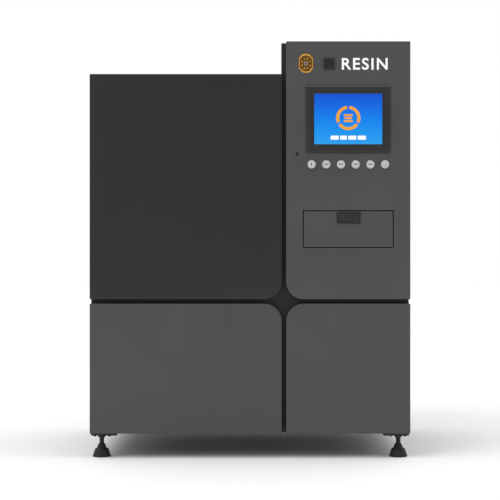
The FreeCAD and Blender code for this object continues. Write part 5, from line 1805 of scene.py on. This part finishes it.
class MakeStage(bpy.types.Operator):
    """Lays the pale floor, hangs the soft lamps and sets the camera"""

    bl_idname = "resin_printer.stage"
    bl_label = "Stage"

    def execute(self, context):
        stage = context.scene.resin_printer.stage
        half = stage.floor / 2
        points = [(-half, -half, 0), (half, -half, 0), (half, half, 0), (-half, half, 0)]
        mesh = bpy.data.meshes.new("studio_floor")
        mesh.from_pydata(points, [], [(0, 1, 2, 3)])
        mesh.materials.append(floor_paint())
        plane = bpy.data.objects.new("studio_floor", mesh)
        context.collection.objects.link(plane)
        world = bpy.data.worlds.new("white surround")
        context.scene.world = world
        world.use_nodes = True
        tree = world.node_tree
        background = tree.nodes["Background"]
        background.inputs["Color"].default_value = (1.0, 1.0, 1.0, 1.0)
        where = node(tree, "TexCoord")
        axes = node(tree, "SeparateXYZ", [("Vector", where.outputs["Generated"])])
        ahead = {"From_Min": -1.0, "From_Max": -0.25, "To_Min": stage.front, "To_Max": 1.0}
        front = node(tree, "MapRange", [("Value", axes.outputs["Y"])], **ahead).outputs["Result"]
        above = {"From_Min": 0.1, "From_Max": 1.0, "To_Min": stage.sky, "To_Max": stage.sky * stage.zenith}
        over = node(tree, "MapRange", [("Value", axes.outputs["Z"])], **above).outputs["Result"]
        product = node(tree, "Math", operation="MULTIPLY")
        tree.links.new(front, product.inputs[0])
        tree.links.new(over, product.inputs[1])
        tree.links.new(product.outputs["Value"], background.inputs["Strength"])
        soft = {"shape": "RECTANGLE", "size": 3.0, "size_y": 1.2}
        lamps = (
            ("distant_key", "SUN", stage.key, {"angle": math.radians(34)}, (-2.6, -3.2, 4.0), (0.0, 0.0, 0.0)),
            ("overhead_softbox", "AREA", stage.top, soft, (-0.2, -0.75, 4.4), (-0.2, -0.74, 0.0)),
        )
        for name, kind, power, sizes, spot, aim in lamps:
            lamp = bpy.data.lights.new(name, kind)
            lamp.energy = power
            for key, value in sizes.items():
                setattr(lamp, key, value)
            holder = bpy.data.objects.new(name, lamp)
            holder.location = spot
            holder.rotation_euler = (Vector(aim) - Vector(spot)).to_track_quat("-Z", "Y").to_euler()
            context.collection.objects.link(holder)
        camera = bpy.data.cameras.new("front_camera")
        camera.lens = stage.lens
        camera.sensor_width = 36.0
        camera.clip_end = 200.0
        holder = bpy.data.objects.new("front_camera", camera)
        holder.location = (0.0, FACE_Y - stage.distance, stage.height)
        holder.rotation_euler = (math.pi / 2, 0.0, 0.0)
        context.collection.objects.link(holder)
        context.scene.camera = holder
        context.scene.view_settings.view_transform = "Standard"
        return {"FINISHED"}


# ---- the sidebar, and the run in order ----


MAKERS = (
    MakeLowerDoors, MakeChamberDoor, MakeTowerDoor, MakeMonitor, MakeButtons, MakeFlap, MakeTowerFittings,
    MakeSeals, MakeFrame, MakePanels, MakeServices, MakeFeet, MakeChamber, MakeLift, MakeOptics,
    MakeElectrics, MakeStage,
)


class PrinterPanel(bpy.types.Panel):
    """Lists the operators and the main settings"""

    bl_idname = "VIEW3D_PT_resin_printer"
    bl_label = "Resin printer"
    bl_space_type = "VIEW_3D"
    bl_region_type = "UI"
    bl_category = "Resin printer"

    def draw(self, context):
        settings = context.scene.resin_printer
        for maker in MAKERS:
            self.layout.operator(maker.bl_idname)
        self.layout.prop(settings, "closed")
        for group in (settings.doors, settings.panels, settings.controls, settings.stage):
            box = self.layout.box()
            for key in type(group).__annotations__:
                box.prop(group, key)


CLASSES = (DoorSettings, PanelSettings, ControlSettings, StageSettings, PrinterSettings, *MAKERS, PrinterPanel)


def register():
    """Registers the classes and the scene's settings."""
    for cls in CLASSES:
        bpy.utils.register_class(cls)
    bpy.types.Scene.resin_printer = PointerProperty(
        type=PrinterSettings, name="Resin printer", description="Settings"
    )


def unregister():
    """Takes the settings and the classes away again."""
    del bpy.types.Scene.resin_printer
    for cls in reversed(CLASSES):
        bpy.utils.unregister_class(cls)


def main():
    """Makes every piece in order."""
    register()
    for maker in MAKERS:
        group, name = maker.bl_idname.split(".")
        if getattr(getattr(bpy.ops, group), name)() != {"FINISHED"}:
            raise RuntimeError(f"{maker.bl_label} was not made")
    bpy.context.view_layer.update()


if __name__ == "__main__":
    main()
